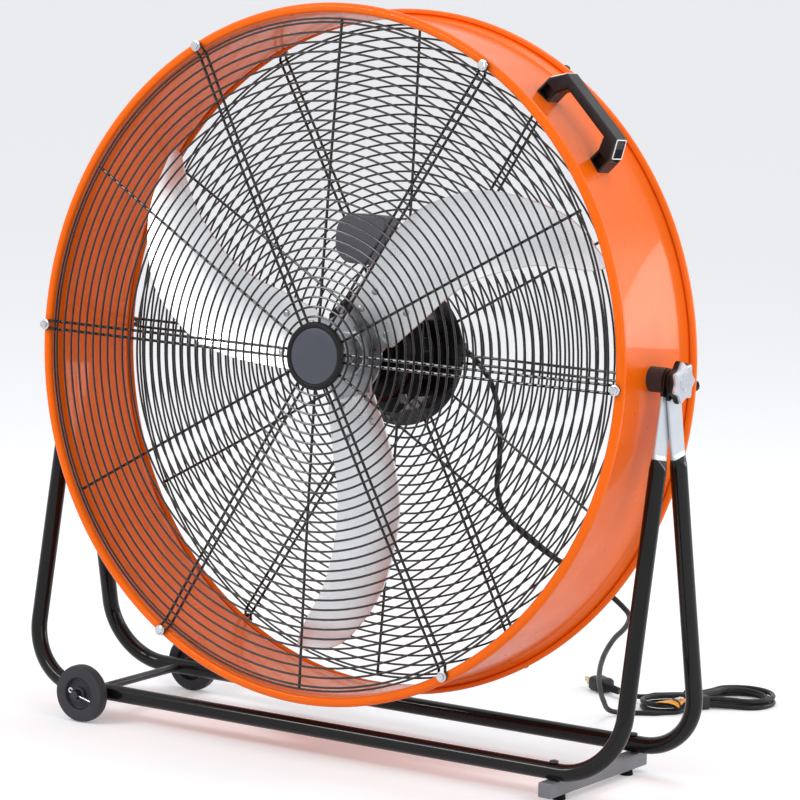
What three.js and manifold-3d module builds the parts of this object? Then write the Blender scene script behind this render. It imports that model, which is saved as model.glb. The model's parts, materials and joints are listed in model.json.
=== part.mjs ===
// Drum fan on a tilting tube stand. Millimetres, +Z up, the air leaves towards -Y.
// The origin lies on the floor, below the middle of the stand.
import * as THREE from 'three';
import { mergeVertices } from 'three/addons/utils/BufferGeometryUtils.js';
import Module from 'manifold-3d';

const wasm = await Module();
wasm.setup();

// ---- Driving sizes -------------------------------------------------------------------------

const gap = 0.3; // between pieces that touch
const runningGap = 0.4; // round an axle, a shaft or a stud

// Drum: a rolled sheet with a bead at each mouth
const drumSides = 36;
const rimDiameter = 820;
const drumDepth = 171;
const beadDiameter = 12;
const rimRise = 12; // of the rim over the barrel
const flareLength = 28;
const sheetThickness = 1.5;
const drumTilt = 4.4; // degrees, air stream turned upwards
const pivotAboveAxis = 10; // the drum hangs with its axis below the pivots

// Wire guards, seen as rising outwards from the drum's middle
const ringWire = 2.6;
const spokeWire = 3.4;
const ringCount = 31;
const firstRingRadius = 46;
const guardInset = 23; // of the last ring inside the rim
const hoopStep = 4; // from the last ring to the hoop that closes the guard
const spokeSink = 3.3; // of the spokes at the hoop, below the rim
const domeRise = 7;
const hairpinWidth = 9.4; // between the two wires of a double spoke
const hairpinClimb = [2.5, 8.5]; // past the hoop, where a double spoke climbs on to the bead
const doubleSpokes = 6;
const frontPlateDiameter = 76;
const rearPlateDiameter = 176;
const plateThickness = 3;
const badgeDiameter = 80;
const badgeThickness = 5;
const badgeFaceDiameter = 66;
const screwInset = 7; // of the screws inside the rim
const screwShank = 4.6;
const screwGrip = 8; // length of a screw inside the bead
const screwFlange = 12.8;
const screwHeadHeight = 5;

// Fan. A blade's edges are [along the arm, across it, along the drum axis].
const bladeCount = 3;
const bladeThickness = 1.8;
const firstBladeAngle = 167; // degrees, seen from the front
const leadingEdge = [
  [50, -37, -30], [73, -39, -30], [112, -43, -30], [153, -46, -30], [192, -56, -30],
  [228, -74, -26], [263, -97, -24], [293, -129, -20], [311, -149, -14], [324, -156, -11],
];
const trailingEdge = [
  [50, 37, -43], [69, 40, -43], [110, 47, -45], [152, 51, -47], [194, 48, -50],
  [238, 31, -51], [280, 3, -48], [316, -48, -35], [332, -93, -21], [329, -147, -12],
];
const bladeCamber = 7;
const spiderThickness = 3;
const spiderArmRows = 2; // blade rows that the spider reaches along
const spiderDiscDiameter = 97;
const hubDiameter = 56;
const hubFront = -34;
const hubBack = 4;
const shaftDiameter = 14;
const shaftFront = -44;
const shaftBack = 44;
const hubNutDiameter = 24;
const hubNutDepth = 9;

// Motor, its bracket and the control box, along the drum axis from its middle
const motorDiameter = 118;
const motorFront = 14;
const motorBack = 70;
const endCapBack = 82;
const bracketSide = 134;
const bracketCorner = 26; // cut off each corner
const bracketThickness = 3;
const bracketAt = 28;
const bracketLegWidth = 24;
const bracketLegRadius = 75;
const motorBoltRadius = 69;
const boxWidth = 72;
const boxHeight = 60;
const boxDepth = 28;
const speedKnobStep = 8.815; // ring steps from the first ring to its axis, between two rings
const speedKnobAngle = 108;
const speedKnobDiameter = 28;
const speedKnobDepth = 12;
const speedShaft = 6;
const knobOnBox = [4.82, 7.04]; // of the knob's axis from the middle of the box

// Handle
const handleLength = 125;
const handleHeight = 38;
const handleWidth = 25;
const handleAngle = 45.5; // degrees round the drum
const handleFront = -20; // of its front face along the drum axis
const handleGrip = 11; // thickness of the grip bar
const handleLeg = 20; // thickness of a leg at its root
const handleShoulder = 17; // height where the sloped shoulders start

// Stand
const tubeDiameter = 20;
const wheelDiameter = 70;
const pivotHeight = 481;
const baseSpread = 176; // between the two base tubes
const bendRadius = 75;
const flatThickness = 4;
const flatWidth = 28;
const flatLength = 84; // from the pivot down to the blend into the round tube
const flatBlend = 20;
const spacerLength = 20;
const spacerDiameter = 29;
const studDiameter = 8;
const studReach = 7.5; // of the stud into the spacer
const studBoreGap = 1.2; // round the stud in the spacer
const knobDiameter = 50;
const knobDepth = 11.4;
const knobLobes = 7;
const knobLobeDepth = 5;
const knobCapThickness = 2;
const axleDiameter = 10;
const axleInset = 23.3; // of the axle from where the base tube's bend begins
const wheelWidth = 16;
const wheelHubWidth = 19;
const wheelFaceY = 121;
const wheelRecessDiameter = 38;
const wheelRecessDepth = 6;
const wheelBossDiameter = 17;
const axleEnd = 6; // of the axle beyond a wheel
const cotterWire = 2.2;
const cotterLength = 30;
const footBarInset = 8.3; // of the foot bar from where the base tube's bend begins
const footBarWidth = 18;
const footBarLength = 214;
const footHeight = 7;
const footDiameter = 16;
const footSpread = 150;
const boltDiameter = 6;
const boltHeadDiameter = 13;
const boltHeadHeight = 4;

// Mains lead. Places on the rear guard are [radius, angle in degrees, height over the guard].
const cordDiameter = 6.5;
const leadRoute = [
  [84, 8, 0], [103, -1, 0], [130, -13, 0], [157, -27, 0], [182, -38, 0], [206, -46, 0],
  [235, -48.5, 0], [275, -46.6, 0], [321, -43.6, 0], [345, -41.6, 1.2], [370, -40.6, 2.6],
];
const bootLength = 26;
const freeRoute = [
  [322, 80, 197], [323, 93, 186], [313, 110, 173], [295, 129, 158], [271, 150, 141],
  [240, 181, 113], [212, 218, 84], [190, 255, 55], [175, 291, 27], [168, 318, 9], [176, 338, 3.3],
];
const hankMiddle = [229, 450];
const hankDirection = 58; // degrees from +X, of the long way of the hank
// One loop, [along, across], from the near fold round by the right
const hankLoop = [
  [-92, 0], [-83, -23], [-60, -32], [-36, -24], [-12, -15.5], [18, -28], [50, -45], [82, -32],
  [95, 0], [82, 32], [50, 45], [18, 28], [-12, 15.5], [-36, 24], [-60, 32], [-83, 23],
];
const hankStart = 0.08; // share of a loop from the near fold
const hankSteps = 67;
const hankStepsPerLoop = 24;
const hankSides = 6;
const hankStep = 7.5; // between neighbouring loops and between layers
const hankTail = [[166, 414, 9.3], [149, 408.5, 8.3], [138, 409.5, 8.8]]; // to the plug
const tieAlong = -12;
const tieThickness = 1.2;
const tieWidth = 14;
const tieHalf = 21;
const plugAt = [124, 416, 9.5]; // where the lead enters the plug
const plugHeading = 151.3; // degrees from +X
const plugLength = 34;
const plugWidth = 25;
const plugHeight = 19;
const plugBoot = 24;
const prongLength = 17;
const prongSpacing = 12.7;

// ---- Derived sizes -------------------------------------------------------------------------

const rimRadius = rimDiameter / 2;
const barrelRadius = rimRadius - rimRise;
const lastRingRadius = rimRadius - guardInset;
const hoopRadius = lastRingRadius + hoopStep;
const hairpinRise = hairpinClimb.map((step) => hoopRadius + step);
const screwCircleRadius = rimRadius - screwInset;
const ringPitch = (lastRingRadius - firstRingRadius) / (ringCount - 1);
const speedKnobRadius = firstRingRadius + speedKnobStep * ringPitch;
const boxX = speedKnobRadius * Math.cos((speedKnobAngle * Math.PI) / 180) - knobOnBox[0];
const boxZ = speedKnobRadius * Math.sin((speedKnobAngle * Math.PI) / 180) - knobOnBox[1];
const beadRadius = beadDiameter / 2;
const halfDepth = drumDepth / 2;
const baseHeight = wheelDiameter / 2;
const tubeRadius = tubeDiameter / 2;
const cordRadius = cordDiameter / 2;
const spokeRadius = 0.62 * spokeWire; // of a three-sided section as stout as the wire
const innerFlatX = barrelRadius + spacerLength + gap + flatThickness / 2;
const outerFlatX = innerFlatX + flatThickness + gap;
const bendStartX = innerFlatX - bendRadius;
const axleX = axleInset - bendStartX;
const footBarX = bendStartX - footBarInset;
const knobSeatX = outerFlatX + flatThickness / 2 + gap;

// ---- Materials -----------------------------------------------------------------------------

function material(color, roughness, metalness) {
  return new THREE.MeshStandardMaterial({ color, roughness, metalness });
}

const orangePaint = material(0xf26a12, 0.32, 0.1);
const blackPaint = material(0x1d1c1e, 0.4, 0.3);
const blackPlastic = material(0x141314, 0.55, 0);
const badgeGrey = material(0x4c4f57, 0.45, 0.2);
const zinc = material(0xc4c7cc, 0.35, 0.9);
const aluminium = material(0xc9ccd1, 0.38, 0.9);
const greyPaint = material(0x9a9ca0, 0.5, 0.2);
const wheelBlack = material(0x232324, 0.75, 0);
const rubber = material(0x111111, 0.9, 0);
const silverPlastic = material(0xb9bcc3, 0.3, 0.6);
const cordBlack = material(0x161617, 0.6, 0);

// ---- Shape helpers -------------------------------------------------------------------------

const root = new THREE.Group();

function addMesh(parent, name, geometry, look) {
  const mesh = new THREE.Mesh(geometry, look);
  mesh.name = name;
  parent.add(mesh);
  return mesh;
}

function toSolid(geometry) {
  const bare = geometry.clone();
  bare.deleteAttribute('normal');
  bare.deleteAttribute('uv');
  const merged = mergeVertices(bare, 1e-4);
  const vertProperties = Float32Array.from(merged.attributes.position.array);
  const triVerts = Uint32Array.from(merged.index.array);
  return new wasm.Manifold(new wasm.Mesh({ numProp: 3, vertProperties, triVerts }));
}

function toGeometry(solid) {
  const mesh = solid.getMesh();
  const geometry = new THREE.BufferGeometry();
  geometry.setAttribute('position', new THREE.BufferAttribute(mesh.vertProperties, 3));
  geometry.setIndex(new THREE.BufferAttribute(mesh.triVerts, 1));
  return geometry;
}

function cut(geometry, ...tools) {
  const solid = tools.reduce((rest, tool) => rest.subtract(toSolid(tool)), toSolid(geometry));
  return toGeometry(solid);
}

function join(...geometries) {
  return toGeometry(geometries.map(toSolid).reduce((sum, solid) => sum.add(solid)));
}

function moved(geometry, { x = 0, y = 0, z = 0 }) {
  return geometry.translate(x, y, z);
}

function rod(radius, length, sides, axis = 'y') {
  const geometry = new THREE.CylinderGeometry(radius, radius, length, sides);
  if (axis === 'x') geometry.rotateZ(Math.PI / 2);
  if (axis === 'z') geometry.rotateX(Math.PI / 2);
  return geometry;
}

// A profile of [radius, height] pairs turned about Y; a closed profile is a ring.
function turned(profile, sides, closed = false) {
  const points = profile.map(([radius, height]) => new THREE.Vector2(radius, height));
  if (closed) points.push(points[0].clone());
  return new THREE.LatheGeometry(points, sides);
}

function outline(points) {
  return new THREE.Shape(points.map(([x, y]) => new THREE.Vector2(x, y)));
}

function polygon(radius, sides) {
  const corner = (step) => [
    radius * Math.cos((step * 2 * Math.PI) / sides),
    radius * Math.sin((step * 2 * Math.PI) / sides),
  ];
  return outline(Array.from({ length: sides }, (_, step) => corner(step)));
}

function extruded(shape, depth) {
  return new THREE.ExtrudeGeometry(shape, { depth, bevelEnabled: false, curveSegments: 6 });
}

// A path whose steps fall on its own points, so that each corner stays where it is.
class Route extends THREE.Curve {
  constructor(points) {
    super();
    this.points = points;
  }

  getPoint(t, target = new THREE.Vector3()) {
    const last = this.points.length - 1;
    const place = Math.min(t, 1) * last;
    const step = Math.min(Math.floor(place + 1e-9), last - 1);
    return target.lerpVectors(this.points[step], this.points[step + 1], place - step);
  }

  getPointAt(t, target) {
    return this.getPoint(t, target);
  }

  getTangentAt(t, target = new THREE.Vector3()) {
    const last = this.points.length - 1;
    const step = Math.round(t * last);
    const here = this.points[step];
    const before = here.clone().sub(this.points[Math.max(step - 1, 0)]).normalize();
    const after = this.points[Math.min(step + 1, last)].clone().sub(here).normalize();
    return target.addVectors(before, after).normalize();
  }
}

function wire(points, radius, sides) {
  return new THREE.ExtrudeGeometry(polygon(radius, sides), {
    steps: points.length - 1,
    extrudePath: new Route(points),
  });
}

// Rings of points, each the same count, skinned into one closed body.
function loft(rings) {
  const count = rings[0].length;
  const positions = rings.flat().flatMap((point) => point.toArray());
  const faces = [];
  for (let ring = 0; ring < rings.length - 1; ring += 1) {
    for (let side = 0; side < count; side += 1) {
      const next = (side + 1) % count;
      const a = ring * count + side;
      const b = ring * count + next;
      faces.push(a, b, a + count, b, b + count, a + count);
    }
  }
  const last = (rings.length - 1) * count;
  for (let side = 1; side < count - 1; side += 1) {
    faces.push(0, side + 1, side);
    faces.push(last, last + side, last + side + 1);
  }
  const geometry = new THREE.BufferGeometry();
  geometry.setAttribute('position', new THREE.Float32BufferAttribute(positions, 3));
  geometry.setIndex(faces);
  return geometry;
}

// A sheet over a grid of places, with its thickness along Y.
function sheet(place, across, along, thickness) {
  const positions = [];
  for (const offset of [-thickness / 2, thickness / 2]) {
    for (let row = 0; row <= along; row += 1) {
      for (let column = 0; column <= across; column += 1) {
        const point = place(row / along, column / across);
        positions.push(point.x, point.y + offset, point.z);
      }
    }
  }
  const width = across + 1;
  const layer = width * (along + 1);
  const faces = [];
  for (let row = 0; row < along; row += 1) {
    for (let column = 0; column < across; column += 1) {
      const a = row * width + column;
      const b = a + 1;
      const c = a + width;
      const d = c + 1;
      faces.push(a, c, b, b, c, d);
      faces.push(a + layer, b + layer, c + layer, b + layer, d + layer, c + layer);
    }
  }
  const wall = (from, to) => {
    faces.push(from, to, from + layer, to, to + layer, from + layer);
  };
  for (let row = 0; row < along; row += 1) {
    wall((row + 1) * width, row * width);
    wall(row * width + across, (row + 1) * width + across);
  }
  for (let column = 0; column < across; column += 1) {
    wall(column, column + 1);
    wall(along * width + column + 1, along * width + column);
  }
  const geometry = new THREE.BufferGeometry();
  geometry.setAttribute('position', new THREE.Float32BufferAttribute(positions, 3));
  geometry.setIndex(faces);
  return geometry;
}

const radians = THREE.MathUtils.degToRad;

// A place on the drum's cross section: radius and angle as seen from the front, depth along Y.
function polar(radius, angle, y) {
  return new THREE.Vector3(radius * Math.cos(angle), y, radius * Math.sin(angle));
}

// ---- Groups --------------------------------------------------------------------------------

// The head turns about the pivots; its axis group holds what lies round the drum's own axis.
const head = new THREE.Group();
head.position.z = pivotHeight;
head.rotation.x = -radians(drumTilt);
root.add(head);
const drum = new THREE.Group();
drum.position.z = -pivotAboveAxis;
head.add(drum);

// ---- Drum ----------------------------------------------------------------------------------

// One end of the sheet from the barrel over the flare and the bead and back inside.
function rimProfile() {
  const centre = [rimRadius - beadRadius, halfDepth - beadRadius];
  const flareStart = halfDepth - flareLength;
  const flare = [[0.25, 0.07], [0.6, 0.45], [0.85, 0.87]];
  const rise = centre[0] - barrelRadius;
  const reach = centre[1] - flareStart;
  const outer = flare.map(([along, up]) => [barrelRadius + rise * up, flareStart + reach * along]);
  const inner = outer.map(([radius, y]) => [radius - sheetThickness, y]).reverse();
  const bead = [-100, -40, 20, 75, 125, 180, 230].map((angle) => [
    centre[0] + beadRadius * Math.cos(radians(angle)),
    centre[1] + beadRadius * Math.sin(radians(angle)),
  ]);
  return [
    [barrelRadius, flareStart],
    ...outer.slice(0, 2),
    ...bead,
    ...inner.slice(1),
    [barrelRadius - sheetThickness, flareStart],
  ];
}

const screwAngles = Array.from({ length: doubleSpokes }, (_, index) => radians(index * 360 / doubleSpokes));

function drumShell() {
  const rear = rimProfile();
  const front = rear.map(([radius, y]) => [radius, -y]).reverse();
  const shell = turned([...rear, ...front], drumSides, true);
  const holes = [-halfDepth, halfDepth].flatMap((y) => screwAngles.map((angle) => {
    const hole = rod(screwShank / 2 + gap, 2 * (screwGrip + 1), 6);
    return moved(hole, polar(screwCircleRadius, angle, y));
  }));
  return cut(shell, ...holes);
}

addMesh(drum, 'drum_shell', drumShell(), orangePaint);

// ---- Wire guards ---------------------------------------------------------------------------

// Height of the spokes' middle line over the drum's middle
function spokeHeight(radius) {
  return halfDepth - spokeSink + domeRise * (1 - (radius / lastRingRadius) ** 2);
}

const ringLift = spokeRadius + gap + 0.6 * ringWire;
const beadTop = halfDepth + gap + spokeRadius;

// A ring of straight pieces about its true circle, with a corner beside the speed knob
function guardRing(trueRadius, sides) {
  const radius = (2 * trueRadius) / (1 + Math.cos(Math.PI / sides));
  const height = spokeHeight(trueRadius) + ringLift;
  const reach = 0.6 * ringWire;
  const ring = turned([
    [radius, height - reach],
    [radius + reach, height + reach / 2],
    [radius - reach, height + reach / 2],
  ], sides, true);
  return ring.rotateY(radians(90 - speedKnobAngle));
}

function ringRadii(inside) {
  const all = Array.from({ length: ringCount }, (_, index) => firstRingRadius + index * ringPitch);
  return [...all.filter((radius) => radius > inside), hoopRadius];
}

function spokePlaces(from, to, steps, lift = 0) {
  return Array.from({ length: steps + 1 }, (_, step) => {
    const radius = from + (to - from) * (step / steps);
    return new THREE.Vector3(radius, spokeHeight(radius) + lift, 0);
  });
}

function guardRings(inside, sidesAt) {
  const radii = ringRadii(inside);
  const lift = gap + 0.5 * ringWire;
  const places = spokePlaces(radii[0] - 2, hoopRadius, 3, lift);
  const spoke = wire(places, spokeRadius, 3).rotateY(-radians(90));
  return join(...radii.map((radius) => guardRing(radius, sidesAt(radius))), spoke);
}

function hairpin(inside) {
  const half = hairpinWidth / 2;
  const along = spokePlaces(inside, hairpinRise[0], 2);
  along.push(new THREE.Vector3(hairpinRise[1], beadTop, 0));
  along.push(new THREE.Vector3(screwCircleRadius, beadTop, 0));
  const out = along.map((place) => place.clone().setZ(half));
  const back = along.map((place) => place.clone().setZ(-half)).reverse();
  const turn = [50, 0, -50].map((angle) => new THREE.Vector3(
    screwCircleRadius + half * Math.cos(radians(angle)),
    beadTop,
    half * Math.sin(radians(angle)),
  ));
  return wire([...out, ...turn, ...back], spokeRadius, 3);
}

function guardSpokes(plateDiameter) {
  const plateRadius = plateDiameter / 2;
  const inside = plateRadius - 8;
  const doubles = screwAngles.map((angle) => hairpin(inside).rotateY(-angle));
  const single = spokePlaces(inside, lastRingRadius, 3);
  const singles = [30, 150, 210, 270, 330].map((angle) => wire(single, spokeRadius, 3).rotateY(-radians(angle)));
  const plate = rod(plateRadius, plateThickness, 32).translate(0, spokeHeight(plateRadius), 0);
  return join(plate, ...doubles, ...singles);
}

const toFront = (geometry) => geometry.rotateZ(Math.PI);

// Sides of a ring, fewer on the small ones
function ringSides(inner, outer) {
  return (radius) => {
    const share = radius / lastRingRadius;
    if (share < inner) return 10;
    if (share < outer) return 13;
    return radius < lastRingRadius ? 16 : 30;
  };
}

const frontRings = guardRings(firstRingRadius - 1, ringSides(0.31, 0.8));
const rearRings = guardRings(rearPlateDiameter / 2, ringSides(0.465, 0.99));
addMesh(drum, 'front_grille_rings', toFront(frontRings), blackPaint);
addMesh(drum, 'front_grille_spokes', toFront(guardSpokes(frontPlateDiameter)), blackPaint);
addMesh(drum, 'rear_grille_rings', rearRings, blackPaint);

function screw() {
  const head = turned([
    [0, 0],
    [screwFlange / 2, 0],
    [0.4 * screwFlange, screwHeadHeight],
    [0, screwHeadHeight],
  ], 6);
  const seat = beadTop + spokeRadius + gap;
  const shank = rod(screwShank / 2, seat + 1 - (halfDepth - screwGrip), 6);
  shank.translate(0, (seat + 1 + halfDepth - screwGrip) / 2, 0);
  return join(head.translate(0, seat, 0), shank);
}

screwAngles.forEach((angle, index) => {
  const seat = polar(screwCircleRadius, angle, 0);
  const front = new THREE.Vector3(-seat.x, 0, seat.z);
  addMesh(drum, `front_screw_${index + 1}`, toFront(moved(screw(), front)), zinc);
  addMesh(drum, `rear_screw_${index + 1}`, moved(screw(), seat), zinc);
});

function badgeRing() {
  const outer = badgeDiameter / 2;
  const inner = badgeFaceDiameter / 2;
  return turned([
    [0, 0],
    [outer, 0],
    [outer, 2],
    [outer - 2.5, badgeThickness],
    [inner + 1.5, badgeThickness],
    [inner, badgeThickness - 1.2],
    [inner, badgeThickness - 2.5],
    [0, badgeThickness - 2.5],
  ], 28);
}

const badgeSeat = spokeHeight(frontPlateDiameter / 2) + Math.max(plateThickness / 2, spokeRadius) + 0.6;
addMesh(drum, 'badge_ring', toFront(badgeRing().translate(0, badgeSeat, 0)), blackPlastic);
const badgeFace = rod(badgeFaceDiameter / 2 - gap, 1.2, 28);
badgeFace.translate(0, badgeSeat + badgeThickness - 2.5 + gap + 0.6, 0);
addMesh(drum, 'badge_face', toFront(badgeFace), badgeGrey);

// ---- Fan -----------------------------------------------------------------------------------

const fan = new THREE.Group();
drum.add(fan);

// A place on a blade: row along the edges' lists, share across from leading to trailing edge
function bladePlace(row, share) {
  const low = Math.min(Math.floor(row), leadingEdge.length - 2);
  const at = (edge) => new THREE.Vector3(...edge[low]).lerp(new THREE.Vector3(...edge[low + 1]), row - low);
  const place = at(leadingEdge).lerp(at(trailingEdge), share);
  const taper = 1 - Math.max(0, row - 6) / 3;
  const camber = 4 * bladeCamber * share * (1 - share) * taper;
  return new THREE.Vector3(place.x, place.z + camber, place.y);
}

// Root corners rounded: the first row is drawn in at both edges
function blade() {
  const rows = [0, 0.15, 0.5, 1, 2, 3, 4, 5, 6, 7, 8, 9];
  const narrowing = [0.2, 0.06];
  return sheet((along, across) => {
    const index = Math.round(along * (rows.length - 1));
    const draw = narrowing[index] ?? 0;
    return bladePlace(rows[index], draw + across * (1 - 2 * draw));
  }, 5, rows.length - 1, bladeThickness);
}

function bladeAngle(index) {
  return -radians(firstBladeAngle - (index * 360) / bladeCount);
}

for (let index = 0; index < bladeCount; index += 1) {
  addMesh(fan, `blade_${index + 1}`, blade().rotateY(bladeAngle(index)), aluminium);
}

const spiderDrop = (bladeThickness + spiderThickness) / 2 + gap + 0.4;
const discHeight = bladePlace(0, 0.5).y + spiderDrop;

// An arm lies flat on the disc at its root and takes the blade's twist where the blade starts
function spiderArm() {
  const rows = [-1, -0.5, 0, 1, spiderArmRows - 0.25, spiderArmRows - 0.05];
  const narrowing = [0.1, 0.1, 0.1, 0.1, 0.13, 0.22];
  return sheet((along, across) => {
    const index = Math.round(along * (rows.length - 1));
    const row = rows[index];
    const share = narrowing[index] + across * (1 - 2 * narrowing[index]);
    const place = bladePlace(Math.max(row, 0), share);
    place.y += spiderDrop;
    if (row < 0) {
      place.x += 30 * row;
      place.y = THREE.MathUtils.lerp(place.y, discHeight, -row);
    }
    return place;
  }, 4, rows.length - 1, spiderThickness);
}

function hubSpider() {
  const arms = [0, 1, 2].map((index) => spiderArm().rotateY(bladeAngle(index)));
  const disc = rod(spiderDiscDiameter / 2, spiderThickness, 18).translate(0, discHeight, 0);
  const boss = rod(hubDiameter / 2, hubBack - hubFront, 18).translate(0, (hubBack + hubFront) / 2, 0);
  return cut(join(boss, disc, ...arms), rod(shaftDiameter / 2 + gap, 200, 16));
}

addMesh(fan, 'hub_spider', hubSpider(), zinc);
const shaft = rod(shaftDiameter / 2, shaftBack - shaftFront, 16).translate(0, (shaftBack + shaftFront) / 2, 0);
addMesh(fan, 'motor_shaft', shaft, zinc);
const hubNut = rod(hubNutDiameter / 2, hubNutDepth, 6).translate(0, hubFront - gap - hubNutDepth / 2, 0);
addMesh(fan, 'hub_nut', cut(hubNut, rod(shaftDiameter / 2 + gap, 200, 16)), zinc);

// ---- Motor and control box -----------------------------------------------------------------

function motorBody() {
  const radius = motorDiameter / 2;
  const body = turned([
    [0, motorFront],
    [0.62 * radius, motorFront],
    [0.9 * radius, motorFront + 4],
    [radius, motorFront + 10],
    [radius, motorBack - 3],
    [radius - 3, motorBack],
    [0, motorBack],
  ], 24);
  const bore = rod(shaftDiameter / 2 + runningGap, 2 * shaftBack + 2, 16);
  return cut(body, bore);
}

addMesh(drum, 'motor_body', motorBody(), blackPaint);
const endCap = turned([
  [0, motorBack + gap],
  [0.94 * motorDiameter / 2, motorBack + gap],
  [0.94 * motorDiameter / 2, motorBack + 5],
  [0.7 * motorDiameter / 2, endCapBack],
  [0, endCapBack],
], 24);
addMesh(drum, 'motor_end_cap', endCap, zinc);

const quarters = [45, 135, 225, 315].map(radians);

function motorBracket() {
  const half = bracketSide / 2;
  const short = half - bracketCorner;
  const plate = extruded(outline([
    [short, -half], [half, -short], [half, short], [short, half],
    [-short, half], [-half, short], [-half, -short], [-short, -half],
  ]), bracketThickness);
  plate.rotateX(Math.PI / 2).translate(0, bracketAt + bracketThickness, 0);
  const legTop = spokeHeight(rearPlateDiameter / 2) - plateThickness / 2 - gap;
  const legs = quarters.map((angle) => {
    const length = legTop - bracketAt;
    const leg = new THREE.BoxGeometry(bracketThickness, length, bracketLegWidth);
    return leg.translate(bracketLegRadius, bracketAt + length / 2, 0).rotateY(angle);
  });
  const holes = quarters.map((angle) => {
    return moved(rod(boltDiameter / 2 + gap, 40, 8), polar(motorBoltRadius, angle, bracketAt));
  });
  return cut(join(plate, ...legs), rod(motorDiameter / 2 + 3 * gap, 60, 24).translate(0, bracketAt, 0), ...holes);
}

addMesh(drum, 'motor_bracket', motorBracket(), blackPaint);

function bolt(length) {
  const head = rod(boltHeadDiameter / 2, boltHeadHeight, 6).translate(0, -boltHeadHeight / 2, 0);
  return join(head, rod(boltDiameter / 2, length + 1, 8).translate(0, (length - 1) / 2, 0));
}

quarters.forEach((angle, index) => {
  const place = polar(motorBoltRadius, angle, bracketAt - gap);
  addMesh(drum, `motor_bolt_${index + 1}`, moved(bolt(8), place), zinc);
});

const speedPlace = polar(speedKnobRadius, radians(speedKnobAngle), 0);
const boxBack = spokeHeight(190) - spokeRadius - gap - 0.2;

function controlBox() {
  const round = Math.min(boxHeight, boxWidth) / 4;
  const x = boxWidth / 2;
  const z = boxHeight / 2;
  const shape = outline([
    [x, -z], [x, z], [-x + round, z], [-x + 0.3 * round, z - 0.3 * round], [-x, z - round],
    [-x, -z + round], [-x + 0.3 * round, -z + 0.3 * round], [-x + round, -z],
  ]);
  const body = extruded(shape, boxDepth).rotateX(Math.PI / 2).translate(boxX, boxBack, boxZ);
  const bore = rod(speedShaft / 2 + runningGap, 24, 12);
  return cut(body, bore.translate(speedPlace.x, boxBack, speedPlace.z));
}

addMesh(drum, 'control_box', controlBox(), greyPaint);

function speedKnob() {
  const seat = spokeHeight(speedKnobRadius) + ringLift + ringWire;
  const radius = speedKnobDiameter / 2;
  const grip = turned([
    [0, seat],
    [radius, seat],
    [radius, seat + 3],
    [0.8 * radius, seat + speedKnobDepth],
    [0, seat + speedKnobDepth],
  ], 20);
  const pointer = new THREE.BoxGeometry(3, 3, 0.7 * radius);
  pointer.translate(0, seat + speedKnobDepth, 0.4 * radius);
  const stem = rod(speedShaft / 2, seat + 1 - (boxBack - 10), 12);
  stem.translate(0, (seat + 1 + boxBack - 10) / 2, 0);
  return moved(join(grip, pointer, stem), speedPlace);
}

addMesh(drum, 'speed_knob', speedKnob(), blackPlastic);

// ---- Handle --------------------------------------------------------------------------------

function barrelTool(length) {
  return rod(barrelRadius + gap, length, drumSides);
}

function handle() {
  const half = handleLength / 2;
  const top = barrelRadius + handleHeight;
  const shoulder = barrelRadius + handleShoulder;
  const crown = half - 0.6 * (handleHeight - handleShoulder);
  const under = top - handleGrip;
  const shape = outline([
    [half, barrelRadius - 12], [half, shoulder], [crown, top], [-crown, top],
    [-half, shoulder], [-half, barrelRadius - 12], [-half + handleLeg, barrelRadius - 12],
    [-half + handleLeg, shoulder - 4], [-crown + handleLeg - 6, under], [crown - handleLeg + 6, under],
    [half - handleLeg, shoulder - 4], [half - handleLeg, barrelRadius - 12],
  ]);
  const body = new THREE.ExtrudeGeometry(shape, {
    depth: handleWidth - 3, bevelThickness: 1.5, bevelSize: 1.5, bevelOffset: -1.5, bevelSegments: 1,
  });
  body.rotateX(Math.PI / 2).translate(0, handleFront + handleWidth - 1.5, 0);
  const middle = handleFront + handleWidth / 2;
  const pockets = [1, -1].map((side) => {
    const pocket = new THREE.BoxGeometry(13, 14, 15);
    const place = new THREE.Vector3(side * (half - 2), middle, shoulder + 5);
    return moved(pocket.rotateY(side * radians(28)), place);
  });
  const slots = [1, -1].map((side) => {
    const slot = new THREE.BoxGeometry(handleLeg - 7, handleWidth, shoulder - barrelRadius - 3);
    return slot.translate(side * (half - handleLeg / 2), handleFront + 8 - handleWidth / 2, barrelRadius + 5);
  });
  const turn = radians(90 - handleAngle);
  const tools = [...pockets, ...slots].map((tool) => tool.rotateY(turn));
  return cut(body.rotateY(turn), barrelTool(60), ...tools);
}

addMesh(drum, 'handle', handle(), blackPlastic);

// ---- Pivots --------------------------------------------------------------------------------

// Built for the right side along +X; the left side is the same piece turned half round.
function spacer() {
  const body = rod(spacerDiameter / 2, spacerLength + 8, 24, 'x');
  body.translate(barrelRadius + spacerLength / 2 - 4, 0, 0);
  const bore = rod(studDiameter / 2 + studBoreGap, 2 * (studReach + 1), 8, 'x');
  bore.translate(barrelRadius + spacerLength, 0, 0);
  return cut(body, barrelTool(60).translate(0, 0, -pivotAboveAxis), bore);
}

function leftSide(geometry) {
  return geometry.scale(-1, -1, 1);
}

addMesh(head, 'right_spacer', spacer(), blackPlastic);
addMesh(head, 'left_spacer', leftSide(spacer()), blackPlastic);

function star(radius, depth, thickness) {
  const steps = knobLobes * 4;
  const shape = outline(Array.from({ length: steps }, (_, step) => {
    const angle = (step / steps) * 2 * Math.PI;
    const reach = radius - (depth / 2) * (1 - Math.cos(knobLobes * angle));
    return [reach * Math.sin(angle), reach * Math.cos(angle)];
  }).reverse());
  return extruded(shape, thickness).rotateY(Math.PI / 2);
}

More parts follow.
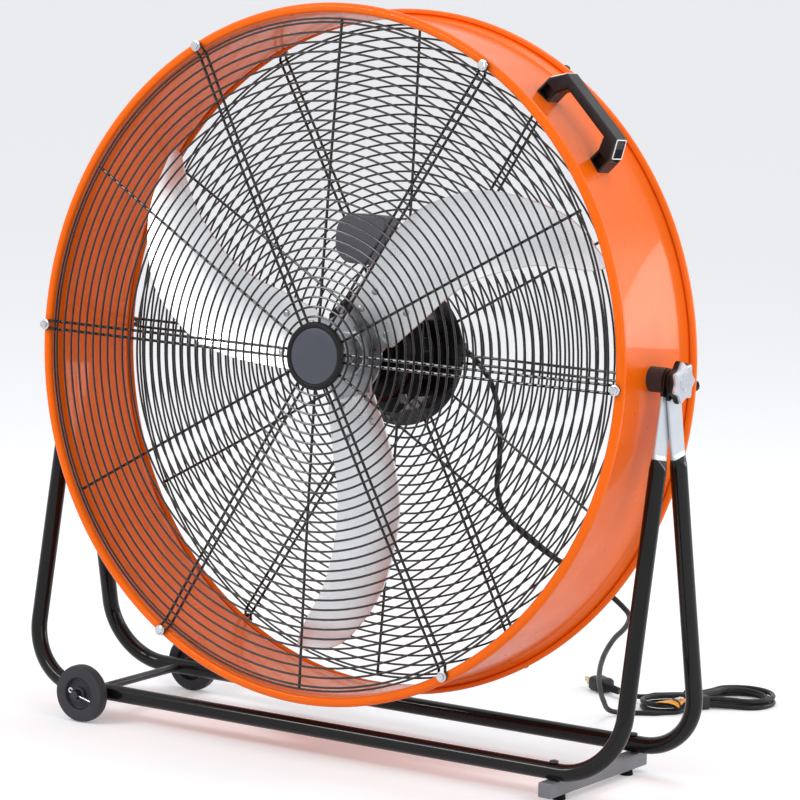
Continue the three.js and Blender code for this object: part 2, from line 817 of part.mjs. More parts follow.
function tiltKnob() {
  const body = star(knobDiameter / 2, knobLobeDepth, knobDepth - 3).translate(knobSeatX + 3, 0, 0);
  const neck = rod(spacerDiameter / 2, 4, 24, 'x').translate(knobSeatX + 2, 0, 0);
  const studEnd = barrelRadius + spacerLength - studReach;
  const stud = rod(studDiameter / 2, knobSeatX + 2 - studEnd, 12, 'x');
  return join(body, neck, stud.translate((knobSeatX + 2 + studEnd) / 2, 0, 0));
}

function tiltKnobCap() {
  const seat = knobSeatX + knobDepth + gap;
  const face = star(knobDiameter / 2 - 5, knobLobeDepth, knobCapThickness).translate(seat, 0, 0);
  const disc = rod(7, knobCapThickness + 0.8, 20, 'x').translate(seat + knobCapThickness / 2 + 0.4, 0, 0);
  return join(face, disc);
}

const pivots = new THREE.Group();
pivots.position.z = pivotHeight;
root.add(pivots);
addMesh(pivots, 'right_knob', tiltKnob(), blackPlastic);
addMesh(pivots, 'right_knob_cap', tiltKnobCap(), silverPlastic);
addMesh(pivots, 'left_knob', leftSide(tiltKnob()), blackPlastic);
addMesh(pivots, 'left_knob_cap', leftSide(tiltKnobCap()), silverPlastic);

// ---- Stand ---------------------------------------------------------------------------------

const baseY = baseSpread / 2;
const legLength = Math.hypot(baseY, pivotHeight - baseHeight);

// The U of one tube: stations down the right leg, round the base and up the left leg.
// Each is [x, distance down from the pivot, half width, half thickness, squareness].
function tubeStations(legX) {
  const wide = flatWidth / 2;
  const thin = flatThickness / 2;
  const leg = [
    [legX, -wide, 0.28 * wide, thin, 0.45],
    [legX, -0.86 * wide, 0.6 * wide, thin, 0.45],
    [legX, -0.5 * wide, 0.88 * wide, thin, 0.45],
    [legX, 0, wide, thin, 0.45],
    [legX, flatLength, wide, thin, 0.45],
    [legX, flatLength + 0.3 * flatBlend, 0.93 * wide, 2.4 * thin, 0.6],
    [legX, flatLength + 0.65 * flatBlend, 0.82 * wide, 0.8 * tubeRadius, 0.85],
    [legX, flatLength + flatBlend, tubeRadius, tubeRadius, 1],
  ];
  const bends = 6;
  for (let step = 0; step <= bends; step += 1) {
    const angle = radians((90 * step) / bends);
    const x = legX - bendRadius * (1 - Math.cos(angle));
    leg.push([x, legLength - bendRadius * (1 - Math.sin(angle)), tubeRadius, tubeRadius, 1]);
  }
  return [...leg, ...leg.map(([x, ...rest]) => [-x, ...rest]).reverse()];
}

function standTube(legX, side) {
  const stations = tubeStations(legX);
  const down = new THREE.Vector3(0, side * baseY, baseHeight - pivotHeight).normalize();
  const normal = new THREE.Vector3(1, 0, 0).cross(down);
  const places = stations.map(([x, drop]) => new THREE.Vector3(x, 0, pivotHeight).addScaledVector(down, drop));
  const sides = 10;
  const rings = stations.map(([, , width, thickness, square], index) => {
    const before = places[Math.max(index - 1, 0)];
    const after = places[Math.min(index + 1, places.length - 1)];
    const tangent = after.clone().sub(before).normalize();
    const across = tangent.clone().cross(normal);
    return Array.from({ length: sides }, (_, step) => {
      const angle = ((step + 0.5) / sides) * 2 * Math.PI;
      const shaped = (value) => Math.sign(value) * Math.abs(value) ** square;
      return places[index].clone()
        .addScaledVector(normal, width * shaped(Math.cos(angle)))
        .addScaledVector(across, thickness * shaped(Math.sin(angle)));
    });
  });
  const studHoles = rod(studDiameter / 2 + runningGap, 1000, 12, 'x').translate(0, 0, pivotHeight);
  const axleHole = rod(axleDiameter / 2 + 2 * gap, 60, 12).translate(axleX, side * baseY, baseHeight);
  const boltHole = rod(boltDiameter / 2 + gap, 60, 8, 'z').translate(footBarX, side * baseY, baseHeight);
  return cut(loft(rings), studHoles, axleHole, boltHole);
}

addMesh(root, 'front_tube', standTube(innerFlatX, -1), blackPaint);
addMesh(root, 'rear_tube', standTube(outerFlatX, 1), blackPaint);

const wheelBack = baseY + tubeRadius + 0.5;
const wheelSide = wheelFaceY - wheelWidth;
const axleLength = 2 * (wheelFaceY + (wheelHubWidth - wheelWidth) / 2 + 1 + axleEnd);

function wheel() {
  const radius = wheelDiameter / 2;
  const bore = axleDiameter / 2 + runningGap;
  const recess = wheelRecessDiameter / 2;
  const boss = wheelBossDiameter / 2;
  return turned([
    [bore, wheelBack],
    [boss, wheelBack],
    [boss, wheelSide + wheelRecessDepth],
    [recess, wheelSide + wheelRecessDepth],
    [recess + 2, wheelSide],
    [radius - 3, wheelSide],
    [radius, wheelSide + 3],
    [radius, wheelFaceY - 3],
    [radius - 3, wheelFaceY],
    [recess + 2, wheelFaceY],
    [recess, wheelFaceY - wheelRecessDepth],
    [boss, wheelFaceY - wheelRecessDepth],
    [boss, wheelFaceY + 1],
    [bore, wheelFaceY + 1],
  ], 16, true);
}

const axlePlace = new THREE.Vector3(axleX, 0, baseHeight);
addMesh(root, 'rear_wheel', moved(wheel(), axlePlace), wheelBlack);
addMesh(root, 'front_wheel', moved(wheel().rotateZ(Math.PI), axlePlace), wheelBlack);

const cotterY = axleLength / 2 - 4;

function axle() {
  const holes = [-cotterY, cotterY].map((y) => rod(cotterWire / 2 + gap, 30, 8, 'z').translate(0, y, 0));
  return cut(rod(axleDiameter / 2, axleLength, 16), ...holes);
}

addMesh(root, 'axle', moved(axle(), axlePlace), zinc);

function cotter() {
  const ring = 4.5;
  const shank = [-0.45, -0.1, 0.25].map((share) => new THREE.Vector3(0, 0, share * cotterLength));
  const loop = Array.from({ length: 10 }, (_, step) => {
    const angle = radians(-60 + step * 32);
    return new THREE.Vector3(ring - ring * Math.cos(angle), 0, 0.25 * cotterLength + ring * (1 + Math.sin(angle)));
  });
  return wire([...shank, ...loop], cotterWire / 2, 6);
}

addMesh(root, 'cotter_front', moved(cotter(), { x: axleX, y: -cotterY, z: baseHeight }), zinc);
addMesh(root, 'cotter_rear', moved(cotter(), { x: axleX, y: cotterY, z: baseHeight }), zinc);

const footTop = baseHeight - tubeRadius - gap;
const footBarHeight = footTop - footHeight;

function footBar() {
  const bar = new THREE.BoxGeometry(footBarWidth, footBarLength, footBarHeight);
  bar.translate(footBarX, 0, footHeight + footBarHeight / 2);
  const holes = [-baseY, baseY].map((y) => {
    return rod(boltDiameter / 2 + gap, 2 * footBarHeight - 6, 8, 'z').translate(footBarX, y, footTop);
  });
  return cut(bar, ...holes);
}

addMesh(root, 'foot_bar', footBar(), greyPaint);

for (const [name, side] of [['front', -1], ['rear', 1]]) {
  const foot = turned([
    [0, 0],
    [footDiameter / 2, 0],
    [footDiameter / 2 - 1, footHeight - gap],
    [0, footHeight - gap],
  ], 20).rotateX(Math.PI / 2);
  addMesh(root, `foot_${name}`, moved(foot, { x: footBarX, y: (side * footSpread) / 2, z: 0 }), rubber);
  const head = baseHeight + tubeRadius + gap;
  const footBolt = bolt(head - footHeight - 4.5).rotateX(-Math.PI / 2);
  addMesh(root, `foot_bolt_${name}`, moved(footBolt, { x: footBarX, y: side * baseY, z: head }), zinc);
}

// ---- Mains lead ----------------------------------------------------------------------------

// Places along a route with a straight stretch of one diameter at each end
function eased(start, startHeading, route, end, endHeading, spacing) {
  const first = start.clone().addScaledVector(startHeading, cordDiameter);
  const last = end.clone().addScaledVector(endHeading, -cordDiameter);
  const curve = new THREE.CatmullRomCurve3([start, first, ...route, last, end], false, 'centripetal');
  const between = curve.getSpacedPoints(Math.ceil(curve.getLength() / spacing)).filter((place) => {
    return Math.min(place.distanceTo(start), place.distanceTo(end)) > 1.6 * cordDiameter;
  });
  return [start, first, ...between, last, end];
}

function stands(geometry, from, heading) {
  const turn = new THREE.Quaternion().setFromUnitVectors(new THREE.Vector3(0, 1, 0), heading);
  return geometry.applyQuaternion(turn).translate(from.x, from.y, from.z);
}

// A tapered, ribbed sleeve along +Y
function boot(length, wide, narrow, ribs, sides) {
  const profile = [[0, 0]];
  for (let rib = 0; rib < ribs; rib += 1) {
    const radius = THREE.MathUtils.lerp(wide, narrow, rib / ribs);
    const from = (rib / ribs) * length;
    const step = length / ribs;
    profile.push([radius, from], [radius, from + 0.55 * step]);
    profile.push([radius - 1.1, from + 0.6 * step], [radius - 1.1, from + step]);
  }
  profile.push([0, length]);
  return turned(profile, sides);
}

const guardTop = ringLift + 0.3 * ringWire + gap + cordRadius;
const leadPlaces = leadRoute.map(([radius, angle, rise]) => {
  return polar(radius, radians(angle), spokeHeight(radius) + guardTop + rise);
});
const leadStart = leadPlaces.shift();
const leadEnd = leadPlaces.pop();
const leadIn = leadPlaces[0].clone().sub(leadStart).normalize();
const leadOut = leadEnd.clone().sub(leadPlaces[leadPlaces.length - 1]).normalize();
const lead = eased(leadStart, leadIn, leadPlaces, leadEnd, leadOut, 19);
addMesh(drum, 'drum_lead', wire(lead, cordRadius, 8), cordBlack);

const glandLength = 16;
const gland = boot(glandLength, guardTop - plateThickness / 2 + 0.8, cordRadius + 2, 1, 10);
stands(gland, leadStart.clone().addScaledVector(leadIn, -glandLength - gap), leadIn);
addMesh(drum, 'rear_grille_spokes', join(guardSpokes(rearPlateDiameter), gland), blackPaint);

const bootStart = leadEnd.clone().addScaledVector(leadOut, gap);
const bootShape = boot(bootLength, cordRadius + 2.1, cordRadius + 1.2, 3, 8);
addMesh(drum, 'cord_clip', stands(bootShape, bootStart, leadOut), blackPlastic);

root.updateMatrixWorld(true);
const freeStart = bootStart.clone().addScaledVector(leadOut, bootLength + gap).applyMatrix4(drum.matrixWorld);
const freeHeading = leadOut.clone().transformDirection(drum.matrixWorld);

const hankTurn = radians(hankDirection);
const hankCurve = new THREE.CatmullRomCurve3(
  hankLoop.map(([along, across]) => new THREE.Vector3(along, across, 0)), true, 'centripetal');

// The lead spirals inwards on the floor, climbs on to itself and spirals out again.
function hankPlace(step) {
  const share = (hankStart + step / hankStepsPerLoop) % 1;
  const place = hankCurve.getPointAt(share);
  const tangent = hankCurve.getTangentAt(share);
  const half = hankSteps / 2;
  const inwards = (hankStep * (half - Math.abs(step - half))) / hankStepsPerLoop;
  const climb = THREE.MathUtils.smoothstep(step, half - hankStepsPerLoop / 4, half + hankStepsPerLoop / 4);
  const lift = Math.max(0, 1 - ((place.x - tieAlong) / 45) ** 2) * (tieThickness + 0.5);
  place.add(new THREE.Vector3(-tangent.y, tangent.x, 0).multiplyScalar(inwards));
  place.z = cordRadius + lift + climb * hankStep;
  return place;
}

const toHank = new THREE.Matrix4().makeRotationZ(hankTurn).setPosition(...hankMiddle, 0);
const loops = Array.from({ length: hankSteps + 1 }, (_, step) => hankPlace(step).applyMatrix4(toHank));
const hankHeading = loops[1].clone().sub(loops[0]).setZ(0).normalize();
const hankFrom = loops[0].clone().addScaledVector(hankHeading, -cordDiameter);
const tailHeading = loops[hankSteps].clone().sub(loops[hankSteps - 1]).normalize();
const plugStart = new THREE.Vector3(...plugAt);
const plugTurn = radians(plugHeading);
const plugOut = new THREE.Vector3(Math.cos(plugTurn), Math.sin(plugTurn), 0);
const tailRoute = hankTail.map((place) => new THREE.Vector3(...place));
const tail = eased(loops[hankSteps], tailHeading, tailRoute, plugStart, plugOut, 9).slice(1);
const hankPlaces = [hankFrom, ...loops, ...tail];

const freeEnd = hankFrom.clone().addScaledVector(hankHeading, -gap);
const free = eased(freeStart, freeHeading, freeRoute.map((place) => new THREE.Vector3(...place)), freeEnd, hankHeading, 15);
addMesh(root, 'cord', wire(free, cordRadius, 8), cordBlack);
addMesh(root, 'cord_hank', wire(hankPlaces, cordRadius, hankSides), cordBlack);

function leastGap(places) {
  const fine = places.slice(1).flatMap((place, index) => {
    return [0, 0.25, 0.5, 0.75].map((share) => places[index].clone().lerp(place, share));
  });
  let least = Infinity;
  fine.forEach((place, index) => {
    let run = 0;
    for (let other = index + 1; other < fine.length; other += 1) {
      run += fine[other].distanceTo(fine[other - 1]);
      if (run > 3 * cordDiameter) least = Math.min(least, place.distanceTo(fine[other]));
    }
  });
  return least - cordDiameter;
}

console.log('least gap of the hank to itself, mm:', leastGap(hankPlaces).toFixed(2));

function tie() {
  const top = tieThickness + 0.5 + 2 * cordRadius + hankStep + 0.6;
  const ring = (half, low, high, corner) => [
    [half, low + corner], [half, high - corner], [half - corner, high], [-half + corner, high],
    [-half, high - corner], [-half, low + corner], [-half + corner, low], [half - corner, low],
  ];
  const shape = outline(ring(tieHalf + tieThickness, 0, top + tieThickness, 2.4));
  shape.holes.push(outline(ring(tieHalf, tieThickness, top, 1.6).reverse()));
  const band = extruded(shape, tieWidth);
  band.rotateX(Math.PI / 2).rotateZ(Math.PI / 2).translate(tieAlong - tieWidth / 2, 0, 0);
  return band.applyMatrix4(toHank);
}

addMesh(root, 'hank_tie', tie(), blackPlastic);

// The plug lies along +Y, on one of its flat sides, before it is turned to its heading.
function plug() {
  const start = plugBoot;
  const end = plugBoot + plugLength;
  const stations = [
    [start, 0.5, 0.55], [start + 4, 0.72, 0.75], [start + 9, 0.95, 0.95],
    [start + 14, 1, 1], [end - 3, 1, 1], [end, 0.9, 0.88],
  ];
  const rings = stations.map(([y, wide, high]) => Array.from({ length: 12 }, (_, step) => {
    const angle = ((step + 0.5) / 12) * 2 * Math.PI;
    const shaped = (value) => Math.sign(value) * Math.abs(value) ** 0.55;
    const x = (plugWidth / 2) * wide * shaped(Math.cos(angle));
    const z = (plugHeight / 2) * high * shaped(Math.sin(angle));
    return new THREE.Vector3(x, y, -z);
  }));
  const sleeve = boot(plugBoot + 2, cordRadius + 2, cordRadius + 1.2, 4, 8);
  sleeve.rotateX(Math.PI).translate(0, plugBoot + 2, 0);
  const blades = [-1, 1].map((side) => {
    const blade = new THREE.BoxGeometry(1.5, prongLength + 2, 6.3);
    return blade.translate((side * prongSpacing) / 2, end + prongLength / 2 - 1, 2.5);
  });
  const pin = rod(2.4, prongLength + 6, 10).translate(0, end + prongLength / 2 + 1, -4.5);
  return join(loft(rings), sleeve, ...blades, pin);
}

addMesh(root, 'plug', stands(plug(), plugStart.clone().addScaledVector(plugOut, gap), plugOut), blackPlastic);

export default root;
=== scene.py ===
"""Looks of the drum fan: camera, cord, fine guards, blades, tubes, wheels and their materials."""
import json
import math

import bmesh
import bpy
import numpy as np
from mathutils import Matrix, Vector
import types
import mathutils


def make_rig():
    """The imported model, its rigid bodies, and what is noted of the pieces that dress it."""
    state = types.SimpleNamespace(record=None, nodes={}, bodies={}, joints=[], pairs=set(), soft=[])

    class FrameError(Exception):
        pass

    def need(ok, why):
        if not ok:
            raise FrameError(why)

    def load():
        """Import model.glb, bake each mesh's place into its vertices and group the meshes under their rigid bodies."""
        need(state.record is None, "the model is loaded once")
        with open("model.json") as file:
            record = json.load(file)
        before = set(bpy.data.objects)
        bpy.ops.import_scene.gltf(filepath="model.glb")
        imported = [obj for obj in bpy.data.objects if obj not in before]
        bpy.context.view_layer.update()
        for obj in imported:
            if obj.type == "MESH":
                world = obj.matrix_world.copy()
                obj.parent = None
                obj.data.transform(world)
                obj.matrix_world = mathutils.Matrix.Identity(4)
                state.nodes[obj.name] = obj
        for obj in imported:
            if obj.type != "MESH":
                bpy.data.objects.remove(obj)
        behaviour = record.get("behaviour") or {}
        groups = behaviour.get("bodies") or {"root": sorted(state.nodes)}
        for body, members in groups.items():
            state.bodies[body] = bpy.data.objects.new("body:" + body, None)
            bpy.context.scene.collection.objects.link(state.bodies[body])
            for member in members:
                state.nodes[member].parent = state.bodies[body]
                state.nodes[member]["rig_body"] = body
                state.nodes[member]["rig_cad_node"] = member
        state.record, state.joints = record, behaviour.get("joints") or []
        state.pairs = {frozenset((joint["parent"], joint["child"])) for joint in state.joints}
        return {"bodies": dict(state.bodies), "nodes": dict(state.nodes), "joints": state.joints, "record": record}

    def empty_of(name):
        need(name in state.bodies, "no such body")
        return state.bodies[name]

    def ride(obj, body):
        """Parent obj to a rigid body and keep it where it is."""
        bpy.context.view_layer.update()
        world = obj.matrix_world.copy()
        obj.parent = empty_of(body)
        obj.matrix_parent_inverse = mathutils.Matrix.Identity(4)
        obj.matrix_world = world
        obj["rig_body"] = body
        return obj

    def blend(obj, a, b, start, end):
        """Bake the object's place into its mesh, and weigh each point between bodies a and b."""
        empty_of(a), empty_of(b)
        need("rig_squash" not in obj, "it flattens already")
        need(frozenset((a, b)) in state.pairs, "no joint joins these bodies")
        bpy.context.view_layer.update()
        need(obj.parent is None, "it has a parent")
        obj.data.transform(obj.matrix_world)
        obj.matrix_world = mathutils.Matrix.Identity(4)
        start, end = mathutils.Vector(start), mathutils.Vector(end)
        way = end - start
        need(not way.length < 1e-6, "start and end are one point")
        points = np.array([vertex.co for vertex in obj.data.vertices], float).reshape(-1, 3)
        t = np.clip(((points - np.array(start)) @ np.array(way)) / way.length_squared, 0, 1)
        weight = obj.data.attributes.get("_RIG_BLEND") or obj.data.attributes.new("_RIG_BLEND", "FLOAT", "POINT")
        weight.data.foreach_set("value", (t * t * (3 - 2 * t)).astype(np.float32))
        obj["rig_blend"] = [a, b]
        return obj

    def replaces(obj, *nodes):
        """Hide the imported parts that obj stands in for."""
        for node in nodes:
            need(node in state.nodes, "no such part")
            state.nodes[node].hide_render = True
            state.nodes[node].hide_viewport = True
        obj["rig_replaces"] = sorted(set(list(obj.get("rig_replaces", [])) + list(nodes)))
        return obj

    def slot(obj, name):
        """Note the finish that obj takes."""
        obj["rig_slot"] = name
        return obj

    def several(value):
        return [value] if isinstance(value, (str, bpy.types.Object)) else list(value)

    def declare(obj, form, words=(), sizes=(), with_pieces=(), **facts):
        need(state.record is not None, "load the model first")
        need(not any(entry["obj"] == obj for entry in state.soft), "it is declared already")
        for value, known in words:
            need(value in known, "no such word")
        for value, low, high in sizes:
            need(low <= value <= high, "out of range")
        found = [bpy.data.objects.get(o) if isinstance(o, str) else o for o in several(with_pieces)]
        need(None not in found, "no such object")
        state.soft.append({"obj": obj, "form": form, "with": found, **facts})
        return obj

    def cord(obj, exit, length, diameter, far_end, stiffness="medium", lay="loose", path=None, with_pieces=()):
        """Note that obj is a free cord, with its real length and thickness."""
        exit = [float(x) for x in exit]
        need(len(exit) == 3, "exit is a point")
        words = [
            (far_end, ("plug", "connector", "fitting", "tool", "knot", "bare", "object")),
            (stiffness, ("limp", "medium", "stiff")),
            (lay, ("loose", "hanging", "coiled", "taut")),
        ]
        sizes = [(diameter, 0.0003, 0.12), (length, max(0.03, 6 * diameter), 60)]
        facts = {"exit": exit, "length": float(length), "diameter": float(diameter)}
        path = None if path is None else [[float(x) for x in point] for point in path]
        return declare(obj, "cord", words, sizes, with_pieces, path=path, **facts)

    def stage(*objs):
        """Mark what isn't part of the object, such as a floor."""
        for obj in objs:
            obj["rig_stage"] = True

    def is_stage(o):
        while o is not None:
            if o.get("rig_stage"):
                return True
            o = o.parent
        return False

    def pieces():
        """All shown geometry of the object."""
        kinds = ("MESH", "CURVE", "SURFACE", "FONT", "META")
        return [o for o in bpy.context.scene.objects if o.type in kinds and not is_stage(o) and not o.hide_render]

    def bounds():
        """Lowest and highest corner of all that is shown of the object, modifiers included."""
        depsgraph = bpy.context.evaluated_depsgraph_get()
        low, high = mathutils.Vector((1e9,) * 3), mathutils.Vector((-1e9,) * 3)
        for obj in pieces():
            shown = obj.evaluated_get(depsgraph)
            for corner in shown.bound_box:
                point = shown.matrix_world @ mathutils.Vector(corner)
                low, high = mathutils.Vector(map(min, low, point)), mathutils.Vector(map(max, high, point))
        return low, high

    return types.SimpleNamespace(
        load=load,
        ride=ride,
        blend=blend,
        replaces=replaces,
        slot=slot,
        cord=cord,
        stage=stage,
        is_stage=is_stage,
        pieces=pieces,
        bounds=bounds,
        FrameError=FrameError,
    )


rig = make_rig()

bpy.context.scene.view_settings.view_transform = 'Standard'
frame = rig.load()
cad_box = [list(corner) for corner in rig.bounds()]
MM = 0.001
rad = math.radians

# ---- Shared sizes, in millimetres, as in the part ------------------------------------------
TILT = 4.4
PIVOT = 481.0
HANG = 10.0
HALF_DEPTH = 85.5
RIM = 410.0
BARREL = 398.0
BEAD = 6.0
RING_WIRE = 2.6
SPOKE_WIRE = 3.4
FIRST_RING, LAST_RING, RING_STEPS = 46, 387.0, 30
FRONT_PLATE, REAR_PLATE, SCREW_CIRCLE = 38, 88, 403
SPACER, FLAT, BOOT = 20, 4, 26
CORD = 6.5
GAP = 0.3
SPOKE_R = 0.62 * SPOKE_WIRE
RING_PITCH = (LAST_RING - FIRST_RING) / RING_STEPS
RING_LIFT = SPOKE_R + GAP + 0.6 * RING_WIRE
BEAD_TOP = HALF_DEPTH + GAP + SPOKE_R


def spin(angle, axis):
    return Matrix.Rotation(rad(angle), 4, axis)


move = Matrix.Translation
DRUM = move((0, 0, PIVOT)) @ spin(-TILT, 'X') @ move((0, 0, -HANG))
FRONT = DRUM @ spin(180, 'Z')
WORLD = Matrix.Identity(4)


def spoke_height(radius):
    return HALF_DEPTH - 3.3 + 7 * (1 - (radius / LAST_RING) ** 2)


def polar(radius, angle, y):
    return Vector((radius * math.cos(rad(angle)), y, radius * math.sin(rad(angle))))


# ---- Camera --------------------------------------------------------------------------------
AZIMUTH, ELEVATION, ROLL = 33.64, 8.53, 1.33
AIM, DISTANCE, LENS = (39.8, 26.5, 417.2), 4.8168, 183.3


def set_camera():
    az, el, roll = rad(AZIMUTH), rad(ELEVATION), rad(ROLL)
    back = Vector((math.sin(az) * math.cos(el), -math.cos(az) * math.cos(el), math.sin(el)))
    right = Vector((math.cos(az), math.sin(az), 0))
    up = back.cross(right)
    tilted_right = right * math.cos(roll) + up * math.sin(roll)
    tilted_up = up * math.cos(roll) - right * math.sin(roll)
    target = Vector(AIM) * MM
    data = bpy.data.cameras.new('camera')
    data.sensor_width = 36
    data.lens = LENS
    data.clip_end = 60
    camera = bpy.data.objects.new('camera', data)
    turn = Matrix((tilted_right, tilted_up, back)).transposed().to_4x4()
    camera.matrix_world = move(target + back * DISTANCE) @ turn
    bpy.context.scene.collection.objects.link(camera)
    bpy.context.scene.camera = camera


set_camera()


# ---- Mesh helpers --------------------------------------------------------------------------
def add(name, verts, faces, material, body, slot, matrix=WORLD, sharp=35, replaces=()):
    """A mesh piece from places in millimetres, riding on a body."""
    data = bpy.data.meshes.new(name)
    data.from_pydata([tuple((matrix @ Vector(v)) * MM) for v in verts], [], faces)
    data.validate()
    solid = bmesh.new()
    solid.from_mesh(data)
    bmesh.ops.recalc_face_normals(solid, faces=solid.faces)
    solid.to_mesh(data)
    solid.free()
    data.shade_smooth()
    data.set_sharp_from_angle(angle=rad(sharp))
    data.materials.append(material)
    piece = bpy.data.objects.new(name, data)
    bpy.context.scene.collection.objects.link(piece)
    if body:
        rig.ride(piece, body)
    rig.slot(piece, slot)
    if replaces:
        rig.replaces(piece, *replaces)
    return piece


class Parts:
    """Collects several shapes into one mesh."""

    def __init__(self):
        self.verts = []
        self.faces = []

    def take(self, shape, matrix=None):
        verts, faces = shape
        base = len(self.verts)
        self.verts += [matrix @ Vector(v) if matrix else Vector(v) for v in verts]
        self.faces += [tuple(i + base for i in f) for f in faces]
        return self

    def __iter__(self):
        return iter((self.verts, self.faces))


def skin(rings, closed=False):
    """Joins rings of equal count, with a cap at both ends unless the way is closed."""
    count = len(rings[0])
    verts = [Vector(v) for ring in rings for v in ring]
    faces = []
    last = len(rings) if closed else len(rings) - 1
    for i in range(last):
        a, b = i * count, ((i + 1) % len(rings)) * count
        for j in range(count):
            k = (j + 1) % count
            faces.append((a + j, a + k, b + k, b + j))
    if not closed:
        faces.append(tuple(reversed(range(count))))
        faces.append(tuple((len(rings) - 1) * count + j for j in range(count)))
    return verts, faces


def frames(points, closed):
    """Place, normal and side at each point, carried along without twist."""
    points = [Vector(p) for p in points]
    n = len(points)
    tangents = []
    for i in range(n):
        before = points[i - 1] if closed or i else points[0]
        after = points[(i + 1) % n] if closed or i < n - 1 else points[-1]
        tangents.append((after - before).normalized())
    normal = tangents[0].orthogonal()
    out = []
    for i, t in enumerate(tangents):
        if i:
            normal = tangents[i - 1].rotation_difference(t) @ normal
        normal = (normal - t * normal.dot(t)).normalized()
        out.append((points[i], normal, t.cross(normal)))
    return out


def tube(points, radius, sides=12, closed=False):
    """A round wire along the points."""
    turns = [2 * math.pi * j / sides for j in range(sides)]
    rings = [[p + normal * (radius * math.cos(a)) + side * (radius * math.sin(a)) for a in turns]
             for p, normal, side in frames(points, closed)]
    return skin(rings, closed)


def circle(radius, height, count):
    turns = [2 * math.pi * j / count for j in range(count)]
    return [Vector((radius * math.cos(a), height, radius * math.sin(a))) for a in turns]


def lathe(profile, sides=64, closed=False):
    """[radius, height] pairs turned about Y."""
    verts, faces = [], []
    rows = []
    for radius, height in profile:
        if radius < 1e-6:
            rows.append([len(verts)] * sides)
            verts.append(Vector((0, height, 0)))
        else:
            rows.append(list(range(len(verts), len(verts) + sides)))
            verts += circle(radius, height, sides)
    count = len(profile)
    for i in range(count if closed else count - 1):
        low, high = rows[i], rows[(i + 1) % count]
        for j in range(sides):
            k = (j + 1) % sides
            face = tuple(dict.fromkeys([low[j], high[j], high[k], low[k]]))
            if len(face) > 2:
                faces.append(face)
    return verts, faces


def corner(before, here, after, reach, steps):
    """Places round a 2-D corner that is cut off by reach."""
    b, h, a = Vector(before), Vector(here), Vector(after)
    r = min(reach, (b - h).length * 0.45, (a - h).length * 0.45)
    start, end = h + (b - h).normalized() * r, h + (a - h).normalized() * r
    shares = [k / steps for k in range(steps + 1)]
    return [tuple(start * (1 - t) ** 2 + h * (2 * t * (1 - t)) + end * t * t) for t in shares]


def rounded(corners, reach, steps=3):
    """A chain of 2-D corners with each inner corner rounded."""
    out = [corners[0]]
    for trio in zip(corners, corners[1:], corners[2:]):
        out += corner(*trio, reach, steps)
    return [*out, corners[-1]]


def ring_of(points, reach, steps=4):
    """A closed 2-D outline with every corner rounded."""
    ring = [points[-1], *points, points[0]]
    return [place for trio in zip(ring, ring[1:], ring[2:]) for place in corner(*trio, reach, steps)]


def end_edges(low, high, radius, steps):
    """Heights and insets that round the end edges of a body between low and high."""
    quarter = [rad(90 * k / steps) for k in range(steps + 1)]
    ends = [(radius * (1 - math.cos(a)), radius * (1 - math.sin(a))) for a in quarter]
    return [(low + y, r) for y, r in ends] + [(high - y, r) for y, r in reversed(ends)]


def smooth_route(points, steps, closed=False):
    """Centripetal Catmull-Rom through the points."""
    pts = [np.array(p, float) for p in points]
    if closed:
        pts = [pts[-1], *pts, pts[0], pts[1]]
    else:
        pts = [2 * pts[0] - pts[1], *pts, 2 * pts[-1] - pts[-2]]
    out = []
    for i in range(1, len(pts) - 2):
        p0, p1, p2, p3 = pts[i - 1:i + 3]
        t0 = 0.0
        t1 = t0 + max(np.linalg.norm(p1 - p0) ** 0.5, 1e-4)
        t2 = t1 + max(np.linalg.norm(p2 - p1) ** 0.5, 1e-4)
        t3 = t2 + max(np.linalg.norm(p3 - p2) ** 0.5, 1e-4)
        for k in range(steps):
            t = t1 + (t2 - t1) * k / steps
            a1 = (t1 - t) / (t1 - t0) * p0 + (t - t0) / (t1 - t0) * p1
            a2 = (t2 - t) / (t2 - t1) * p1 + (t - t1) / (t2 - t1) * p2
            a3 = (t3 - t) / (t3 - t2) * p2 + (t - t2) / (t3 - t2) * p3
            b1 = (t2 - t) / (t2 - t0) * a1 + (t - t0) / (t2 - t0) * a2
            b2 = (t3 - t) / (t3 - t1) * a2 + (t - t1) / (t3 - t1) * a3
            out.append((t2 - t) / (t2 - t1) * b1 + (t - t1) / (t2 - t1) * b2)
    if not closed:
        out.append(pts[-2])
    return out


def spaced(points, count):
    """The same line at equal distances."""
    pts = np.array([tuple(p) for p in points], float)
    run = np.concatenate([[0], np.cumsum(np.linalg.norm(np.diff(pts, axis=0), axis=1))])
    at = np.linspace(0, run[-1], count)
    return [Vector([np.interp(s, run, pts[:, k]) for k in range(3)]) for s in at]


# ---- Materials -----------------------------------------------------------------------------
def linear(hex_colour):
    values = [int(hex_colour[i:i + 2], 16) / 255 for i in (1, 3, 5)]
    return [v / 12.92 if v <= 0.04045 else ((v + 0.055) / 1.055) ** 2.4 for v in values]


